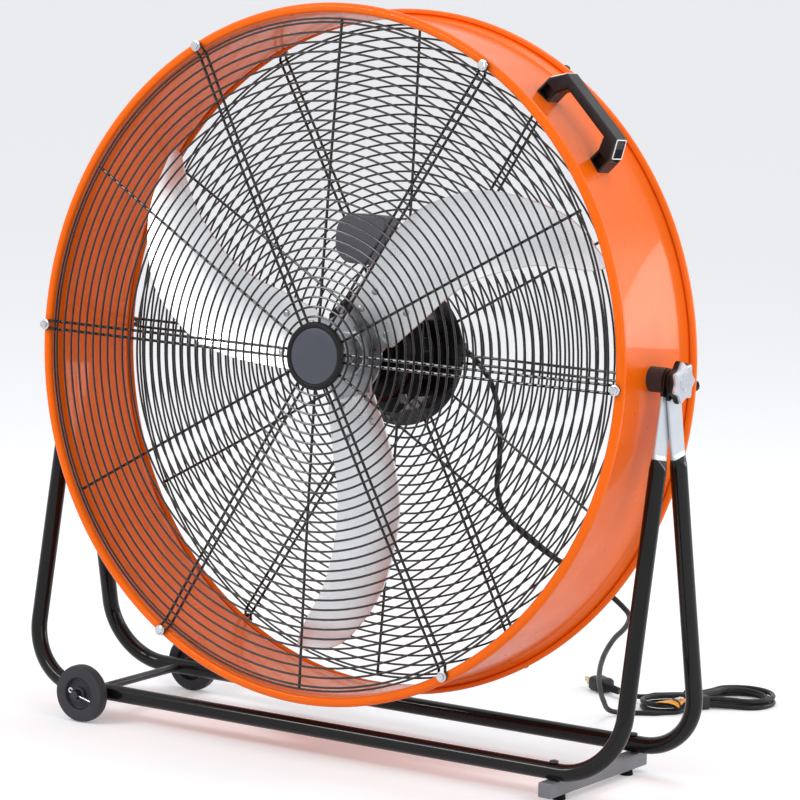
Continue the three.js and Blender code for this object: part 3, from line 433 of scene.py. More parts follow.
def make(name, colour, rough, metal=0.0, coat=0.0, vary=0.08, vary_scale=9, rough_vary=0.1, rough_scale=30,
         bump=0.0, bump_scale=900, wear=0.0, wear_colour='#8d8d90', level=0.5, tint=None, coat_rough=0.06):
    """A procedural finish: cloudy colour and roughness, fine bump, and rubbed edges where wear is over 0."""
    material = bpy.data.materials.new(name)
    material.use_nodes = True
    nodes, links = material.node_tree.nodes, material.node_tree.links
    shader = nodes['Principled BSDF']
    shader.inputs['Metallic'].default_value = metal
    shader.inputs['Specular IOR Level'].default_value = level
    if tint:
        shader.inputs['Specular Tint'].default_value = (*linear(tint), 1)
    if coat:
        shader.inputs['Coat Weight'].default_value = coat
        shader.inputs['Coat Roughness'].default_value = coat_rough
    place = nodes.new('ShaderNodeTexCoord')
    mapping = nodes.new('ShaderNodeMapping')
    links.new(place.outputs['Object'], mapping.inputs['Vector'])

    def noise(scale, detail=3.0):
        node = nodes.new('ShaderNodeTexNoise')
        node.inputs['Scale'].default_value = scale
        node.inputs['Detail'].default_value = detail
        links.new(mapping.outputs['Vector'], node.inputs['Vector'])
        return node

    def spread(value, *limits):
        node = nodes.new('ShaderNodeMapRange')
        for name, limit in zip(('From Min', 'From Max', 'To Min', 'To Max'), limits):
            node.inputs[name].default_value = limit
        links.new(value, node.inputs['Value'])
        return node.outputs['Result']

    base = linear(colour)
    ramp = nodes.new('ShaderNodeValToRGB')
    ramp.color_ramp.elements[0].position = 0.3
    ramp.color_ramp.elements[1].position = 0.7
    ramp.color_ramp.elements[0].color = (*[max(0, v * (1 - vary)) for v in base], 1)
    ramp.color_ramp.elements[1].color = (*[min(1, v * (1 + vary) + 0.002) for v in base], 1)
    links.new(noise(vary_scale).outputs['Fac'], ramp.inputs['Fac'])
    colour_out = ramp.outputs['Color']
    if wear:
        geometry = nodes.new('ShaderNodeNewGeometry')
        mix = nodes.new('ShaderNodeMix')
        mix.data_type = 'RGBA'
        links.new(spread(geometry.outputs['Pointiness'], 0.53, 0.62, 0, wear), mix.inputs['Factor'])
        links.new(colour_out, mix.inputs[6])
        mix.inputs[7].default_value = (*linear(wear_colour), 1)
        colour_out = mix.outputs[2]
    links.new(colour_out, shader.inputs['Base Color'])
    low, high = max(0.03, rough - rough_vary), min(1, rough + rough_vary)
    cloudy = spread(noise(rough_scale, 4.0).outputs['Fac'], 0.3, 0.7, low, high)
    links.new(cloudy, shader.inputs['Roughness'])
    if bump:
        relief = nodes.new('ShaderNodeBump')
        relief.inputs['Strength'].default_value = 0.35
        relief.inputs['Distance'].default_value = bump
        links.new(noise(bump_scale, 2.0).outputs['Fac'], relief.inputs['Height'])
        links.new(relief.outputs['Normal'], shader.inputs['Normal'])
    return material


ORANGE = make('orange_enamel', '#f4680a', 0.3, coat=0.2, coat_rough=0.04, level=0.2, tint='#ff8a30',
              vary=0.04, rough_vary=0.05, bump=0.0001, bump_scale=260)
TUBE_BLACK = make('black_enamel', '#0e0e0f', 0.25, coat=0.4, coat_rough=0.07, level=0.06,
                  vary=0.12, rough_vary=0.07, bump=0.0001, bump_scale=420, wear=0.08)
WIRE_BLACK = make('wire_black', '#121213', 0.26, coat=0.35, level=0.3, vary=0.15, rough_vary=0.08, bump=0.00005)
PLASTIC = make('black_moulding', '#121113', 0.42, level=0.22,
               vary=0.12, rough_vary=0.06, bump=0.00012, bump_scale=1500, wear=0.12)
BADGE = make('slate_badge', '#42454f', 0.4, metal=0.2,
             vary=0.05, vary_scale=25, rough_vary=0.06, bump=0.00004, bump_scale=1200)
ZINC = make('bright_zinc', '#c9ccd0', 0.27, metal=1.0,
            vary=0.1, vary_scale=60, rough_vary=0.1, rough_scale=140, bump=0.00004, bump_scale=700)
STEEL = make('satin_steel', '#b3b6bb', 0.33, metal=1.0,
             vary=0.1, vary_scale=30, rough_vary=0.1, rough_scale=70, bump=0.00006, bump_scale=500)
DARK_STEEL = make('dark_steel', '#3c3c40', 0.35, metal=0.8,
                  vary=0.15, vary_scale=50, rough_vary=0.08, bump=0.00006, bump_scale=700)
ALUMINIUM = make('satin_aluminium', '#eceef1', 0.32, metal=0.8,
                 vary=0.05, vary_scale=7, rough_vary=0.08, rough_scale=26, bump=0.00005, bump_scale=420)
SILVER_PAINT = make('silver_paint', '#bfc4c9', 0.36, metal=0.55,
                    vary=0.06, rough_vary=0.07, bump=0.00008, bump_scale=500, wear=0.2, wear_colour='#e3e3e6')
GREY_PAINT = make('grey_paint', '#717277', 0.42, metal=0.1,
                  vary=0.07, rough_vary=0.07, bump=0.0001, bump_scale=480, wear=0.25, wear_colour='#d5d6d8')
WHEEL = make('wheel_moulding', '#34343a', 0.5, level=0.3,
             vary=0.12, rough_vary=0.08, bump=0.00015, bump_scale=1100, wear=0.2)
# Black rubber for the feet. On the handle inlays the same near-black is also painted shade, standing for the recess in
# each handle end.
RUBBER_AND_RECESS_SHADE = make('foot_rubber', '#101010', 0.8, level=0.12, vary=0.15, rough_vary=0.06, bump=0.0002)
WHITE_TRIM = make('bright_trim', '#e9e9ec', 0.3, metal=0.2, vary=0.03, rough_vary=0.05, bump=0.00004)
SILVER = make('silver_moulding', '#bcbfc6', 0.3, metal=0.6, vary=0.05, rough_vary=0.06, bump=0.00005)
SLATE = make('slate_case', '#5a5e69', 0.4, vary=0.06, vary_scale=20, rough_vary=0.07, bump=0.00008)
CORD_SKIN = make('cord_sheath', '#151517', 0.42, level=0.3,
                 vary=0.14, vary_scale=40, rough_vary=0.08, bump=0.0001, bump_scale=800)
AMBER = make('amber_slip', '#f0a02c', 0.55,
             vary=0.07, vary_scale=60, rough_vary=0.08, rough_scale=90, bump=0.0001, bump_scale=1400)
BRASS = make('plug_pins', '#c9b98c', 0.28, metal=1.0, vary=0.08, vary_scale=90, rough_vary=0.08, bump=0.00003)


# ---- Mains lead ----------------------------------------------------------------------------
LEAD_ROUTE = [
    (84, 8, 0), (103, -1, 0), (130, -13, 0), (157, -27, 0), (182, -38, 0), (206, -46, 0),
    (235, -48.5, 0), (275, -46.6, 0), (321, -43.6, 0), (345, -41.6, 1.2), (370, -40.6, 2.6),
]
FREE_ROUTE = [
    (322, 80, 197), (323, 93, 186), (313, 110, 173), (295, 129, 158), (271, 150, 141),
    (240, 181, 113), (212, 218, 84), (190, 255, 55), (175, 291, 27), (168, 318, 9), (176, 338, 3.3),
]
HANK_LOOP = [
    (-92, 0), (-83, -23), (-60, -32), (-36, -24), (-12, -15.5), (18, -28), (50, -45), (82, -32),
    (95, 0), (82, 32), (50, 45), (18, 28), (-12, 15.5), (-36, 24), (-60, 32), (-83, 23),
]
HANK_START, HANK_STEPS, PER_LOOP, HANK_STEP, TIE_ALONG = 0.08, 67, 24, 7.5, -12
LOOP_PARTS = 720
HANK_TAIL = [(166, 414, 9.3), (149, 408.5, 8.3), (138, 409.5, 8.8)]
PLUG_AT, PLUG_HEADING = Vector((124, 416, 9.5)), rad(151.3)
TO_HANK = move((229, 450, 0)) @ spin(58, 'Z')
GUARD_TOP = RING_LIFT + 0.3 * RING_WIRE + GAP + CORD / 2


def eased(start, heading, route, end, end_heading):
    first, last = start + heading * CORD, end - end_heading * CORD
    return [Vector(p) for p in smooth_route([start, first, *route, last, end], 8)]


def lead_line():
    places = [polar(r, a, spoke_height(r) + GUARD_TOP + rise) for r, a, rise in LEAD_ROUTE]
    start, middle, end = places[0], places[1:-1], places[-1]
    into = (middle[0] - start).normalized()
    out = (end - middle[-1]).normalized()
    return eased(start, into, middle, end, out), into, out


def tie_lift(x):
    """How far the strands are raised where they pass through the tie."""
    return 1.7 * max(0, 1 - ((x - TIE_ALONG) / 45) ** 2)


def hank_line():
    """The tied loops, one unbroken line that is wound inwards and up."""
    ring = [(*p, 0) for p in smooth_route(HANK_LOOP, 24, closed=True)]
    loop = spaced([*ring, ring[0]], LOOP_PARTS + 1)
    half = HANK_STEPS / 2
    line = []
    for i in range(HANK_STEPS * 4 + 1):
        step = i / 4
        share = (HANK_START + step / PER_LOOP) % 1
        at = share * LOOP_PARTS
        low = int(at)
        place = loop[low].lerp(loop[min(low + 1, LOOP_PARTS)], at - low)
        tangent = (loop[(low + 2) % LOOP_PARTS] - loop[(low - 2) % LOOP_PARTS]).normalized()
        inwards = HANK_STEP * (half - abs(step - half)) / PER_LOOP
        t = min(max((step - (half - PER_LOOP / 4)) / (PER_LOOP / 2), 0), 1)
        climb = t * t * (3 - 2 * t)
        lift = tie_lift(place.x)
        place = place + Vector((-tangent.y, tangent.x, 0)) * inwards
        place.z = CORD / 2 + lift + climb * HANK_STEP
        line.append(TO_HANK @ place)
    return line


lead, lead_in, lead_out = lead_line()
boot_start = lead[-1] + lead_out * GAP
free_start = DRUM @ (boot_start + lead_out * (BOOT + GAP))
free_heading = (DRUM.to_3x3() @ lead_out).normalized()
loops = hank_line()
hank_heading = loops[4] - loops[0]
hank_heading.z = 0
hank_heading.normalize()
hank_from = loops[0] - hank_heading * CORD
free = eased(free_start, free_heading, FREE_ROUTE, hank_from, hank_heading)
tail_heading = (loops[-1] - loops[-5]).normalized()
plug_out = Vector((math.cos(PLUG_HEADING), math.sin(PLUG_HEADING), 0))
tail = eased(loops[-1], tail_heading, HANK_TAIL, PLUG_AT, plug_out)
whole = [*free, *loops, *tail[1:]]
length = sum((b - a).length for a, b in zip(whole, whole[1:]))
whole = spaced(whole, int(length / 3.2))
for place in whole:
    place.z = max(place.z, CORD / 2)
cord_piece = add('mains_cord', *tube(whole, CORD / 2, 14), CORD_SKIN, None, 'cord_pvc', replaces=('cord', 'cord_hank'))


def along(start, heading):
    """Stands a shape that is drawn along +Y at start, pointing along heading."""
    turn = Vector((0, 1, 0)).rotation_difference(heading).to_matrix().to_4x4()
    return move(start) @ turn


def sleeve(length, wide, narrow, ribs):
    """A tapered strain relief with rounded ribs."""
    profile = [(0, 0), (wide - 0.5, 0), (wide, 0.5)]
    for rib in range(ribs):
        step = length / ribs
        r = wide + (narrow - wide) * rib / ribs
        y = rib * step
        profile += [(r, y + 0.1 * step), (r, y + 0.5 * step), (r - 0.25, y + 0.56 * step), (r - 1.1, y + 0.62 * step),
                    (r - 1.1, y + 0.94 * step)]
    profile += [(narrow - 1.1, length), (0, length)]
    return lathe(profile, 28)


add('lead_on_guard', *tube(spaced(lead, 150), CORD / 2, 14), CORD_SKIN, 'drum', 'cord_pvc', DRUM,
    replaces=('drum_lead',))
add('lead_boot', *sleeve(BOOT, CORD / 2 + 2.1, CORD / 2 + 1.2, 6), PLASTIC, 'drum', 'black_plastic',
    DRUM @ along(boot_start, lead_out), replaces=('cord_clip',))


def superellipse(wide, high, power, count=32):
    out = []
    for j in range(count):
        a = 2 * math.pi * (j + 0.5) / count
        c, s = math.cos(a), math.sin(a)
        out.append((wide * math.copysign(abs(c) ** power, c), high * math.copysign(abs(s) ** power, s)))
    return out


def plug():
    body = Parts()
    stations = [(24, 0.42, 0.5), (25.5, 0.5, 0.55), (28, 0.7, 0.75), (33, 0.95, 0.95), (38, 1, 1), (46, 0.93, 0.95),
                (54, 0.97, 1), (57, 0.93, 0.95), (58, 0.86, 0.86)]
    rings = [[Vector((x, y, z)) for x, z in reversed(superellipse(12.5 * w, 9.5 * h, 0.5))] for y, w, h in stations]
    body.take(skin(rings))
    body.take(sleeve(26, CORD / 2 + 2, CORD / 2 + 1.2, 6), move((0, 26, 0)) @ spin(180, 'X'))
    return body


PRONG_SPACING = 12.7


def plug_pins():
    pins = Parts()
    for side in (-1, 1):
        rings = []
        for y, w, h in ((57, 0.75, 3.15), (73.5, 0.75, 3.15), (75, 0.5, 2.3)):
            outline = ((-w, -h), (-w, h), (w, h), (w, -h))
            rings.append([Vector((side * PRONG_SPACING / 2 + x, y, 2.5 + z)) for x, z in outline])
        pins.take(skin(rings))
    pins.take(lathe([(0, 57), (2.4, 57), (2.4, 76), (1.9, 78.5), (0, 79)], 20), move((0, 0, -4.5)))
    return pins


TO_PLUG = along(PLUG_AT + plug_out * GAP, plug_out)
plug_piece = add('mains_plug', *plug(), PLASTIC, 'stand', 'black_plastic', TO_PLUG, sharp=50, replaces=('plug',))
pins_piece = add('mains_plug_pins', *plug_pins(), BRASS, 'stand', 'zinc_steel', TO_PLUG)


def tie():
    """A flat band round the strands of the hank."""
    def outline(half, low, high, reach):
        return rounded([(0, low), (half, low), (half, high), (-half, high), (-half, low), (0, low)], reach, 5)[:-1]
    outer, inner = outline(22, 0, 17.5, 4), outline(20.9, 1.2, 16.3, 2.4)
    verts, faces = [], []
    n = len(outer)
    for x, line in ((-7, outer), (7, outer), (7, inner), (-7, inner)):
        verts += [Vector((TIE_ALONG + x, p[0], p[1])) for p in line]
    for k in range(4):
        a, b = k * n, ((k + 1) % 4) * n
        for j in range(n):
            faces.append((a + j, b + j, b + (j + 1) % n, a + (j + 1) % n))
    return verts, faces


tie_piece = add('lead_tie', *tie(), PLASTIC, 'stand', 'black_plastic', TO_HANK, replaces=('hank_tie',))


SLIP_MIDDLE, SLIP_HALF, STRANDS_TOP, FOLD_Y = -57, 25, 15.4, -22
SLIP_FALL = [(0, 0), (-5, 0.2), (-10.5, -0.2), (-13.4, -1.6), (-14.5, -3.4), (-14.9, -5.6)]
SLIP_RUN = np.concatenate([[0], np.cumsum([math.dist(a, b) for a, b in zip(SLIP_FALL, SLIP_FALL[1:])])])


def slip_place(u, v):
    """A blank slip folded over the front strands of the hank: u runs along the fold, v across it."""
    x = SLIP_MIDDLE + SLIP_HALF * u
    top = STRANDS_TOP + tie_lift(x)
    if v < 0:
        y, z = (np.interp(-v * SLIP_RUN[-1], SLIP_RUN, [p[k] for p in SLIP_FALL]) for k in (0, 1))
        return Vector((x, FOLD_Y + y, top + z))
    return Vector((x, FOLD_Y + 9 * v, top - 0.6 * v))


def sheet(place, count, thick):
    """A thin sheet over a square grid from -1 to 1 each way."""
    n = count + 1
    grid = [[Vector(place(-1 + 2 * i / count, -1 + 2 * j / count)) for j in range(n)] for i in range(n)]
    verts, faces = [], []
    for side in (-1, 1):
        for i in range(n):
            for j in range(n):
                u = grid[min(i + 1, count)][j] - grid[max(i - 1, 0)][j]
                v = grid[i][min(j + 1, count)] - grid[i][max(j - 1, 0)]
                verts.append(grid[i][j] + u.cross(v).normalized() * side * thick / 2)
    half = n * n
    for i in range(count):
        for j in range(count):
            a = i * n + j
            faces += [(a, a + 1, a + n + 1, a + n), (half + a, half + a + n, half + a + n + 1, half + a + 1)]
    edge = [(i, 0) for i in range(count)] + [(count, j) for j in range(count)]
    edge += [(i, count) for i in range(count, 0, -1)] + [(0, j) for j in range(count, 0, -1)]
    edge = [i * n + j for i, j in edge]
    faces += [(a, b, b + half, a + half) for a, b in zip(edge, [*edge[1:], edge[0]])]
    return verts, faces


slip = sheet(lambda s, t: slip_place((s + t) / 2, (s - t) / 2), 16, 0.4)
slip_piece = add('blank_slip', *slip, AMBER, 'stand', 'silver_plastic', TO_HANK, sharp=60)
band = [slip_place(0.08, v) + Vector((0, -0.5 if v < 0 else 0, 0.95)) for v in np.linspace(-0.98, 0.5, 24)]
band += [band[-1] + Vector(p) for p in ((0.5, 0.6, 1.6), (1.6, 0.6, 3.6), (3.2, 0.4, 5.4), (5.2, 0, 6.2))]
band_piece = add('slip_band', *tube(band, 0.75, 10), PLASTIC, 'stand', 'black_plastic', TO_HANK)


def stub_place(s, t):
    return slip_place(0.36 + 0.17 * s, 0.1 + 0.3 * t) + Vector((0, 0, 1.6 + 1.4 * math.sin(2.4 * s + t) ** 2))


stub = sheet(stub_place, 8, 0.5)
stub_piece = add('slip_clip', *stub, WHITE_TRIM, 'stand', 'silver_plastic', TO_HANK, sharp=60)
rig.blend(cord_piece, 'stand', 'drum', start=Vector(FREE_ROUTE[-1]) * MM, end=free_start * MM)
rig.slot(cord_piece, 'cord_pvc')
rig.cord(cord_piece, exit=free_start * MM, length=length * MM, diameter=CORD * MM, far_end='plug',
        stiffness='medium', lay='coiled', path=[p * MM for p in whole],
        with_pieces=[plug_piece, pins_piece, tie_piece, slip_piece, band_piece, stub_piece])


# ---- Drum sheet ----------------------------------------------------------------------------
def drum_profile():
    """The rear half of the sheet from the barrel, over the flare and bead, and back inside."""
    wall = 1.5
    centre = (RIM - BEAD, HALF_DEPTH - BEAD)
    start = HALF_DEPTH - 28
    outer = []
    for k in range(9):
        t = k / 8
        up = 0.55 * (3 * t * t - 2 * t ** 3) + 0.45 * t * t
        outer.append((BARREL + (centre[0] - BARREL) * up * 0.92, start + (centre[1] - start) * t * 0.86))
    bead = [(centre[0] + BEAD * math.cos(rad(a)), centre[1] + BEAD * math.sin(rad(a))) for a in range(-80, 236, 15)]
    inner = [(r - wall, y) for r, y in reversed(outer)]
    rear = [*outer, *bead, *inner]
    front = [(r, -y) for r, y in reversed(rear)]
    return [*rear, *front]


drum_sheet = lathe(drum_profile()[::-1], 192, closed=True)
add('drum_sheet', *drum_sheet, ORANGE, 'drum', 'orange_paint', DRUM, sharp=50, replaces=('drum_shell',))


# ---- Wire guards ---------------------------------------------------------------------------
HOOP, HAIRPIN_HALF = 391.2, 4.7
HAIRPIN_RISE = [
    (392.5, spoke_height(392) + 0.4), (394.5, spoke_height(393) + 1.8),
    (398, BEAD_TOP - 1.6), (400, BEAD_TOP - 0.4), (402, BEAD_TOP),
]


def guard(inside):
    """The rings and the spokes of a guard, outside a radius."""
    rings, spokes = Parts(), Parts()
    for i in range(RING_STEPS + 1):
        radius = FIRST_RING + i * RING_PITCH
        if radius > inside:
            ring = circle(radius, spoke_height(radius) + RING_LIFT, 72 if radius < 150 else 120)
            rings.take(tube(ring, RING_WIRE / 2, 8, closed=True))
    rings.take(tube(circle(HOOP, spoke_height(391) + RING_LIFT, 144), RING_WIRE / 2, 8, closed=True))
    line = [Vector((r, spoke_height(r), 0)) for r in np.linspace(inside - 8, 391, 12)]
    for angle in range(30, 360, 60):
        spokes.take(tube(line, SPOKE_WIRE / 2, 8), spin(-angle, 'Y'))
    line = [Vector((r, spoke_height(r), 0)) for r in np.linspace(inside - 8, 390, 12)]
    line += [Vector((r, y, 0)) for r, y in HAIRPIN_RISE]
    half = Vector((0, 0, HAIRPIN_HALF))
    hairpin = [p + half for p in line]
    hairpin += [polar(HAIRPIN_HALF, a, BEAD_TOP) + Vector((SCREW_CIRCLE, 0, 0)) for a in range(80, -81, -20)]
    hairpin += [p - half for p in reversed(line)]
    for angle in range(0, 360, 60):
        spokes.take(tube(hairpin, SPOKE_WIRE / 2, 8), spin(-angle, 'Y'))
    return rings, spokes


front_rings, front_spokes = guard(44)
front_spokes.take(lathe([(0, 86.5), (FRONT_PLATE, 86.5), (FRONT_PLATE, 89.5), (0, 89.5)], 64))
add('front_guard_rings', *front_rings, WIRE_BLACK, 'drum', 'black_paint', FRONT,
    replaces=('front_grille_rings',))
add('front_guard_spokes', *front_spokes, WIRE_BLACK, 'drum', 'black_paint', FRONT,
    replaces=('front_grille_spokes',))
rear_rings, rear_spokes = guard(REAR_PLATE)
plate = spoke_height(REAR_PLATE)
rear_spokes.take(lathe([(0, plate - 1.5), (86, plate - 1.5), (REAR_PLATE, plate - 0.7), (REAR_PLATE, plate + 0.7),
                        (86, plate + 1.5), (60, plate + 1.5), (58, plate + 0.7), (0, plate + 0.7)], 96))
rear_spokes.take(sleeve(16, 7.4, CORD / 2 + 2, 1), along(lead[0] - lead_in * 16.3, lead_in))
add('rear_guard_rings', *rear_rings, WIRE_BLACK, 'drum', 'black_paint', DRUM,
    replaces=('rear_grille_rings',))
add('rear_guard_spokes', *rear_spokes, WIRE_BLACK, 'drum', 'black_paint', DRUM,
    replaces=('rear_grille_spokes',))


# ---- Badge and screws ----------------------------------------------------------------------
seat = spoke_height(FRONT_PLATE) + max(1.5, SPOKE_R) + 0.6
bezel = [(r, seat + rise) for r, rise in ((32.9, 2.2), (33, 4.4), (34.6, 5), (37.4, 5), (40, 2.4), (40, 0), (0, 0))]
bezel = lathe([(0, seat + 2.3), *rounded(bezel, 0.9)][::-1], 128)
add('badge_bezel', *bezel, PLASTIC, 'drum', 'black_plastic', FRONT, replaces=('badge_ring',))
face = ((0, 2.6), (32.4, 2.6), (32.7, 2.8), (32.5, 3.6), (31.6, 3.9), (20, 4.05), (0, 4.1))
face = lathe([(r, seat + rise) for r, rise in face], 128)
add('badge_plate', *face, BADGE, 'drum', 'slate_badge', FRONT, replaces=('badge_face',))


def hexagon(across, low, high, chamfer=0.6):
    """A hexagonal head with a chamfered crown."""
    r = across / math.sqrt(3)
    rings = []
    for y, k in ((low, 1), (high - chamfer, 1), (high, 1 - chamfer / r)):
        ring = []
        for j in range(6):
            a = rad(60 * j)
            ring.append(Vector((r * k * math.cos(a), y, -r * k * math.sin(a))))
        rings.append(ring)
    return skin(rings)


def flange_screw():
    screw = Parts()
    low = BEAD_TOP + SPOKE_R + GAP
    flange = ((0, 0), (6.3, 0), (6.4, 0.5), (6.2, 1.1), (4.9, 1.7), (0, 1.7))
    screw.take(lathe([(r, low + rise) for r, rise in flange], 32))
    screw.take(hexagon(8.6, low + 1.2, low + 4.9))
    screw.take(lathe([(0, low - 1), (2.3, low - 1), (2.3, 78), (0, 78)][::-1], 16))
    return screw


for i in range(6):
    place = polar(SCREW_CIRCLE, 60 * i, 0)
    for side, flip, name in ((DRUM, 1, 'rear'), (FRONT, -1, 'front')):
        at = side @ move((flip * place.x, 0, place.z)) @ spin(17 + 23 * i, 'Y')
        add(f'{name}_flange_screw_{i + 1}', *flange_screw(), ZINC, 'drum', 'zinc_steel', at,
            replaces=(f'{name}_screw_{i + 1}',))


# ---- Fan -----------------------------------------------------------------------------------
LEADING = [
    (50, -37, -30), (73, -39, -30), (112, -43, -30), (153, -46, -30), (192, -56, -30),
    (228, -74, -26), (263, -97, -24), (293, -129, -20), (311, -149, -14), (324, -156, -11),
]
TRAILING = [
    (50, 37, -43), (69, 40, -43), (110, 47, -45), (152, 51, -47), (194, 48, -50),
    (238, 31, -51), (280, 3, -48), (316, -48, -35), (332, -93, -21), (329, -147, -12),
]
EDGE_STEPS = 8
LAST_ROW = len(LEADING) - 1
LEAD_EDGE = smooth_route(LEADING, EDGE_STEPS)
TRAIL_EDGE = smooth_route(TRAILING, EDGE_STEPS)
BLADE_SHEET, SPIDER_SHEET, ROOT_ROUND = 1.8, 3, 0.035
SPIDER_DROP = (BLADE_SHEET + SPIDER_SHEET) / 2 + GAP + 0.4


def blade_place(row, share):
    """A place on a blade: row along its edges' lists, share across from one edge to the other."""
    def at(edge):
        step = min(max(row, 0), LAST_ROW) * EDGE_STEPS
        low = min(int(step), len(edge) - 2)
        return edge[low] + (edge[low + 1] - edge[low]) * (step - low)
    place = at(LEAD_EDGE) * (1 - share) + at(TRAIL_EDGE) * share
    camber = 28 * share * (1 - share) * (1 - max(0, row - 6) / 3)
    return Vector((place[0], place[2] + camber, place[1]))


def plate_between(place, rows, across, thickness):
    """A sheet of even thickness over place(row, share), with a rounded rim."""
    grid = [[place(i / (rows - 1), j / (across - 1)) for j in range(across)] for i in range(rows)]
    normals = []
    for i in range(rows):
        line = []
        for j in range(across):
            a = grid[min(i + 1, rows - 1)][j] - grid[max(i - 1, 0)][j]
            b = grid[i][min(j + 1, across - 1)] - grid[i][max(j - 1, 0)]
            n = a.cross(b).normalized()
            line.append(n if n.y < 0 else -n)
        normals.append(line)
    half = thickness / 2
    verts = [grid[i][j] + normals[i][j] * side for side in (half, -half) for i in range(rows) for j in range(across)]
    top = rows * across
    faces = []
    for i in range(rows - 1):
        for j in range(across - 1):
            a = i * across + j
            faces.append((a, a + 1, a + across + 1, a + across))
            faces.append((top + a, top + a + across, top + a + across + 1, top + a + 1))
    rim = [(0, j) for j in range(across)] + [(i, across - 1) for i in range(1, rows)]
    rim += [(rows - 1, j) for j in range(across - 2, -1, -1)] + [(i, 0) for i in range(rows - 2, 0, -1)]
    middle = len(verts)
    centre = grid[rows // 2][across // 2]
    for k, (i, j) in enumerate(rim):
        before, after = rim[k - 1], rim[(k + 1) % len(rim)]
        tangent = grid[after[0]][after[1]] - grid[before[0]][before[1]]
        out = tangent.cross(normals[i][j]).normalized()
        if out.dot(grid[i][j] - centre) < 0:
            out = -out
        verts.append(grid[i][j] + out * half * 0.6)
    for k in range(len(rim)):
        (i, j), (p, q) = rim[k], rim[(k + 1) % len(rim)]
        a, b = i * across + j, p * across + q
        m, n = middle + k, middle + (k + 1) % len(rim)
        faces.append((a, b, n, m))
        faces.append((top + b, top + a, m, n))
    return verts, faces


def blade_sheet(share, across):
    """A place on a blade's sheet, whose root corners are drawn in to be round."""
    t = max(0, 1 - share / ROOT_ROUND)
    draw = 0.2 * (1 - math.sqrt(1 - t * t))
    return blade_place(LAST_ROW * share, draw + across * (1 - 2 * draw))


def rivet(row, share):
    """A rivet's head on the front of a blade, and where it stands."""
    place = blade_place(row, share)
    u = blade_place(row + 0.1, share) - blade_place(row - 0.1, share)
    v = blade_place(row, share + 0.05) - blade_place(row, share - 0.05)
    n = u.cross(v).normalized()
    n = n if n.y < 0 else -n
    head = lathe([(0, 0), (4.4, 0), (4.2, 0.8), (3.3, 1.7), (1.8, 2.3), (0, 2.5)], 24)
    return head, along(place + n * 0.9, n)


RIVETS = [(0.36, 0.24), (0.32, 0.8), (1.62, 0.25), (1.38, 0.78)]
BLADE_TURNS = [120 * i - 167 for i in range(3)]
blade = plate_between(blade_sheet, 110, 25, BLADE_SHEET)
rivets = Parts()
for row, share in RIVETS:
    rivets.take(*rivet(row, share))
for i, angle in enumerate(BLADE_TURNS):
    turn = DRUM @ spin(angle, 'Y')
    add(f'pressed_blade_{i + 1}', *blade, ALUMINIUM, 'fan', 'satin_aluminium', turn, sharp=45,
        replaces=(f'blade_{i + 1}',))
    add(f'blade_{i + 1}_rivets', *rivets, STEEL, 'fan', 'zinc_steel', turn)

DISC_Y = blade_place(0, 0.5).y + SPIDER_DROP


def spider_arm(share, across):
    """An arm of the spider, from the disc out along a blade to its rounded end."""
    row = -1 + share * 2.95
    end = min(max(0, (row - 1.55) / 0.4), 1)
    narrow = 0.1 + 0.16 * (1 - math.sqrt(1 - end ** 2))
    place = blade_place(max(row, 0), narrow + across * (1 - 2 * narrow))
    place.y += SPIDER_DROP
    if row < 0:
        place.x += 30 * row
        place.y += (DISC_Y - place.y) * -row
    return place


spider = Parts()
arm = plate_between(spider_arm, 40, 15, SPIDER_SHEET)
for angle in BLADE_TURNS:
    spider.take(arm, spin(angle, 'Y'))
disc = ((0, -1.5), (47.9, -1.5), (48.5, -0.9), (48.5, 0.9), (47.9, 1.5), (0, 1.5))
spider.take(lathe([(r, DISC_Y + y) for r, y in disc], 96))
boss = rounded([(0, -34), (28, -34), (28, 4), (0, 4)], 2.2, 4)
spider.take(lathe(boss, 96))
add('fan_spider', *spider, STEEL, 'fan', 'zinc_steel', DRUM, replaces=('hub_spider',))
shaft = rounded([(0, -44), (7, -44), (7, 44), (0, 44)], 1.2, 3)
add('fan_shaft', *lathe(shaft, 48), STEEL, 'fan', 'zinc_steel', DRUM, replaces=('motor_shaft',))
add('fan_nut', *hexagon(20.8, 0, 9, 1.2), ZINC, 'fan', 'zinc_steel', DRUM @ move((0, -34 - GAP, 0)) @ spin(180, 'X'),
    replaces=('hub_nut',))


# ---- Motor, bracket and control box --------------------------------------------------------
housing = rounded([(0, 14), (37, 14), (53, 18), (59, 24), (59, 67), (56, 70), (0, 70)], 3, 4)
motor = Parts().take(lathe(housing, 128))
fin = [[Vector((r, y, z)) for y, z in ((low, -w), (low, w), (high, w), (high, -w))]
       for r, low, high, w in ((58.4, 30, 62, 1), (60.2, 31, 61, 0.8))]
for k in range(24):
    motor.take(skin(fin), spin(15 * k + 7.5, 'Y'))
add('motor_housing', *motor, TUBE_BLACK, 'drum', 'black_paint', DRUM, replaces=('motor_body',))
bell = rounded([(0, 70.3), (55.4, 70.3), (55.4, 75), (41, 82), (14, 82), (12, 80.6), (0, 80.6)], 2.4, 4)
add('motor_bell', *lathe(bell, 128), STEEL, 'drum', 'zinc_steel', DRUM, replaces=('motor_end_cap',))


def finish_node(name, material, slot, width=0.8, angle=30):
    """A CAD node shown as it is, with small radii on its edges."""
    node = frame['nodes'][name]
    node.data.materials.clear()
    node.data.materials.append(material)
    bevel = node.modifiers.new('edges', 'BEVEL')
    bevel.width = width * MM
    bevel.segments = 2
    bevel.limit_method = 'ANGLE'
    bevel.angle_limit = rad(angle)
    bevel.harden_normals = False
    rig.slot(node, slot)
    return node


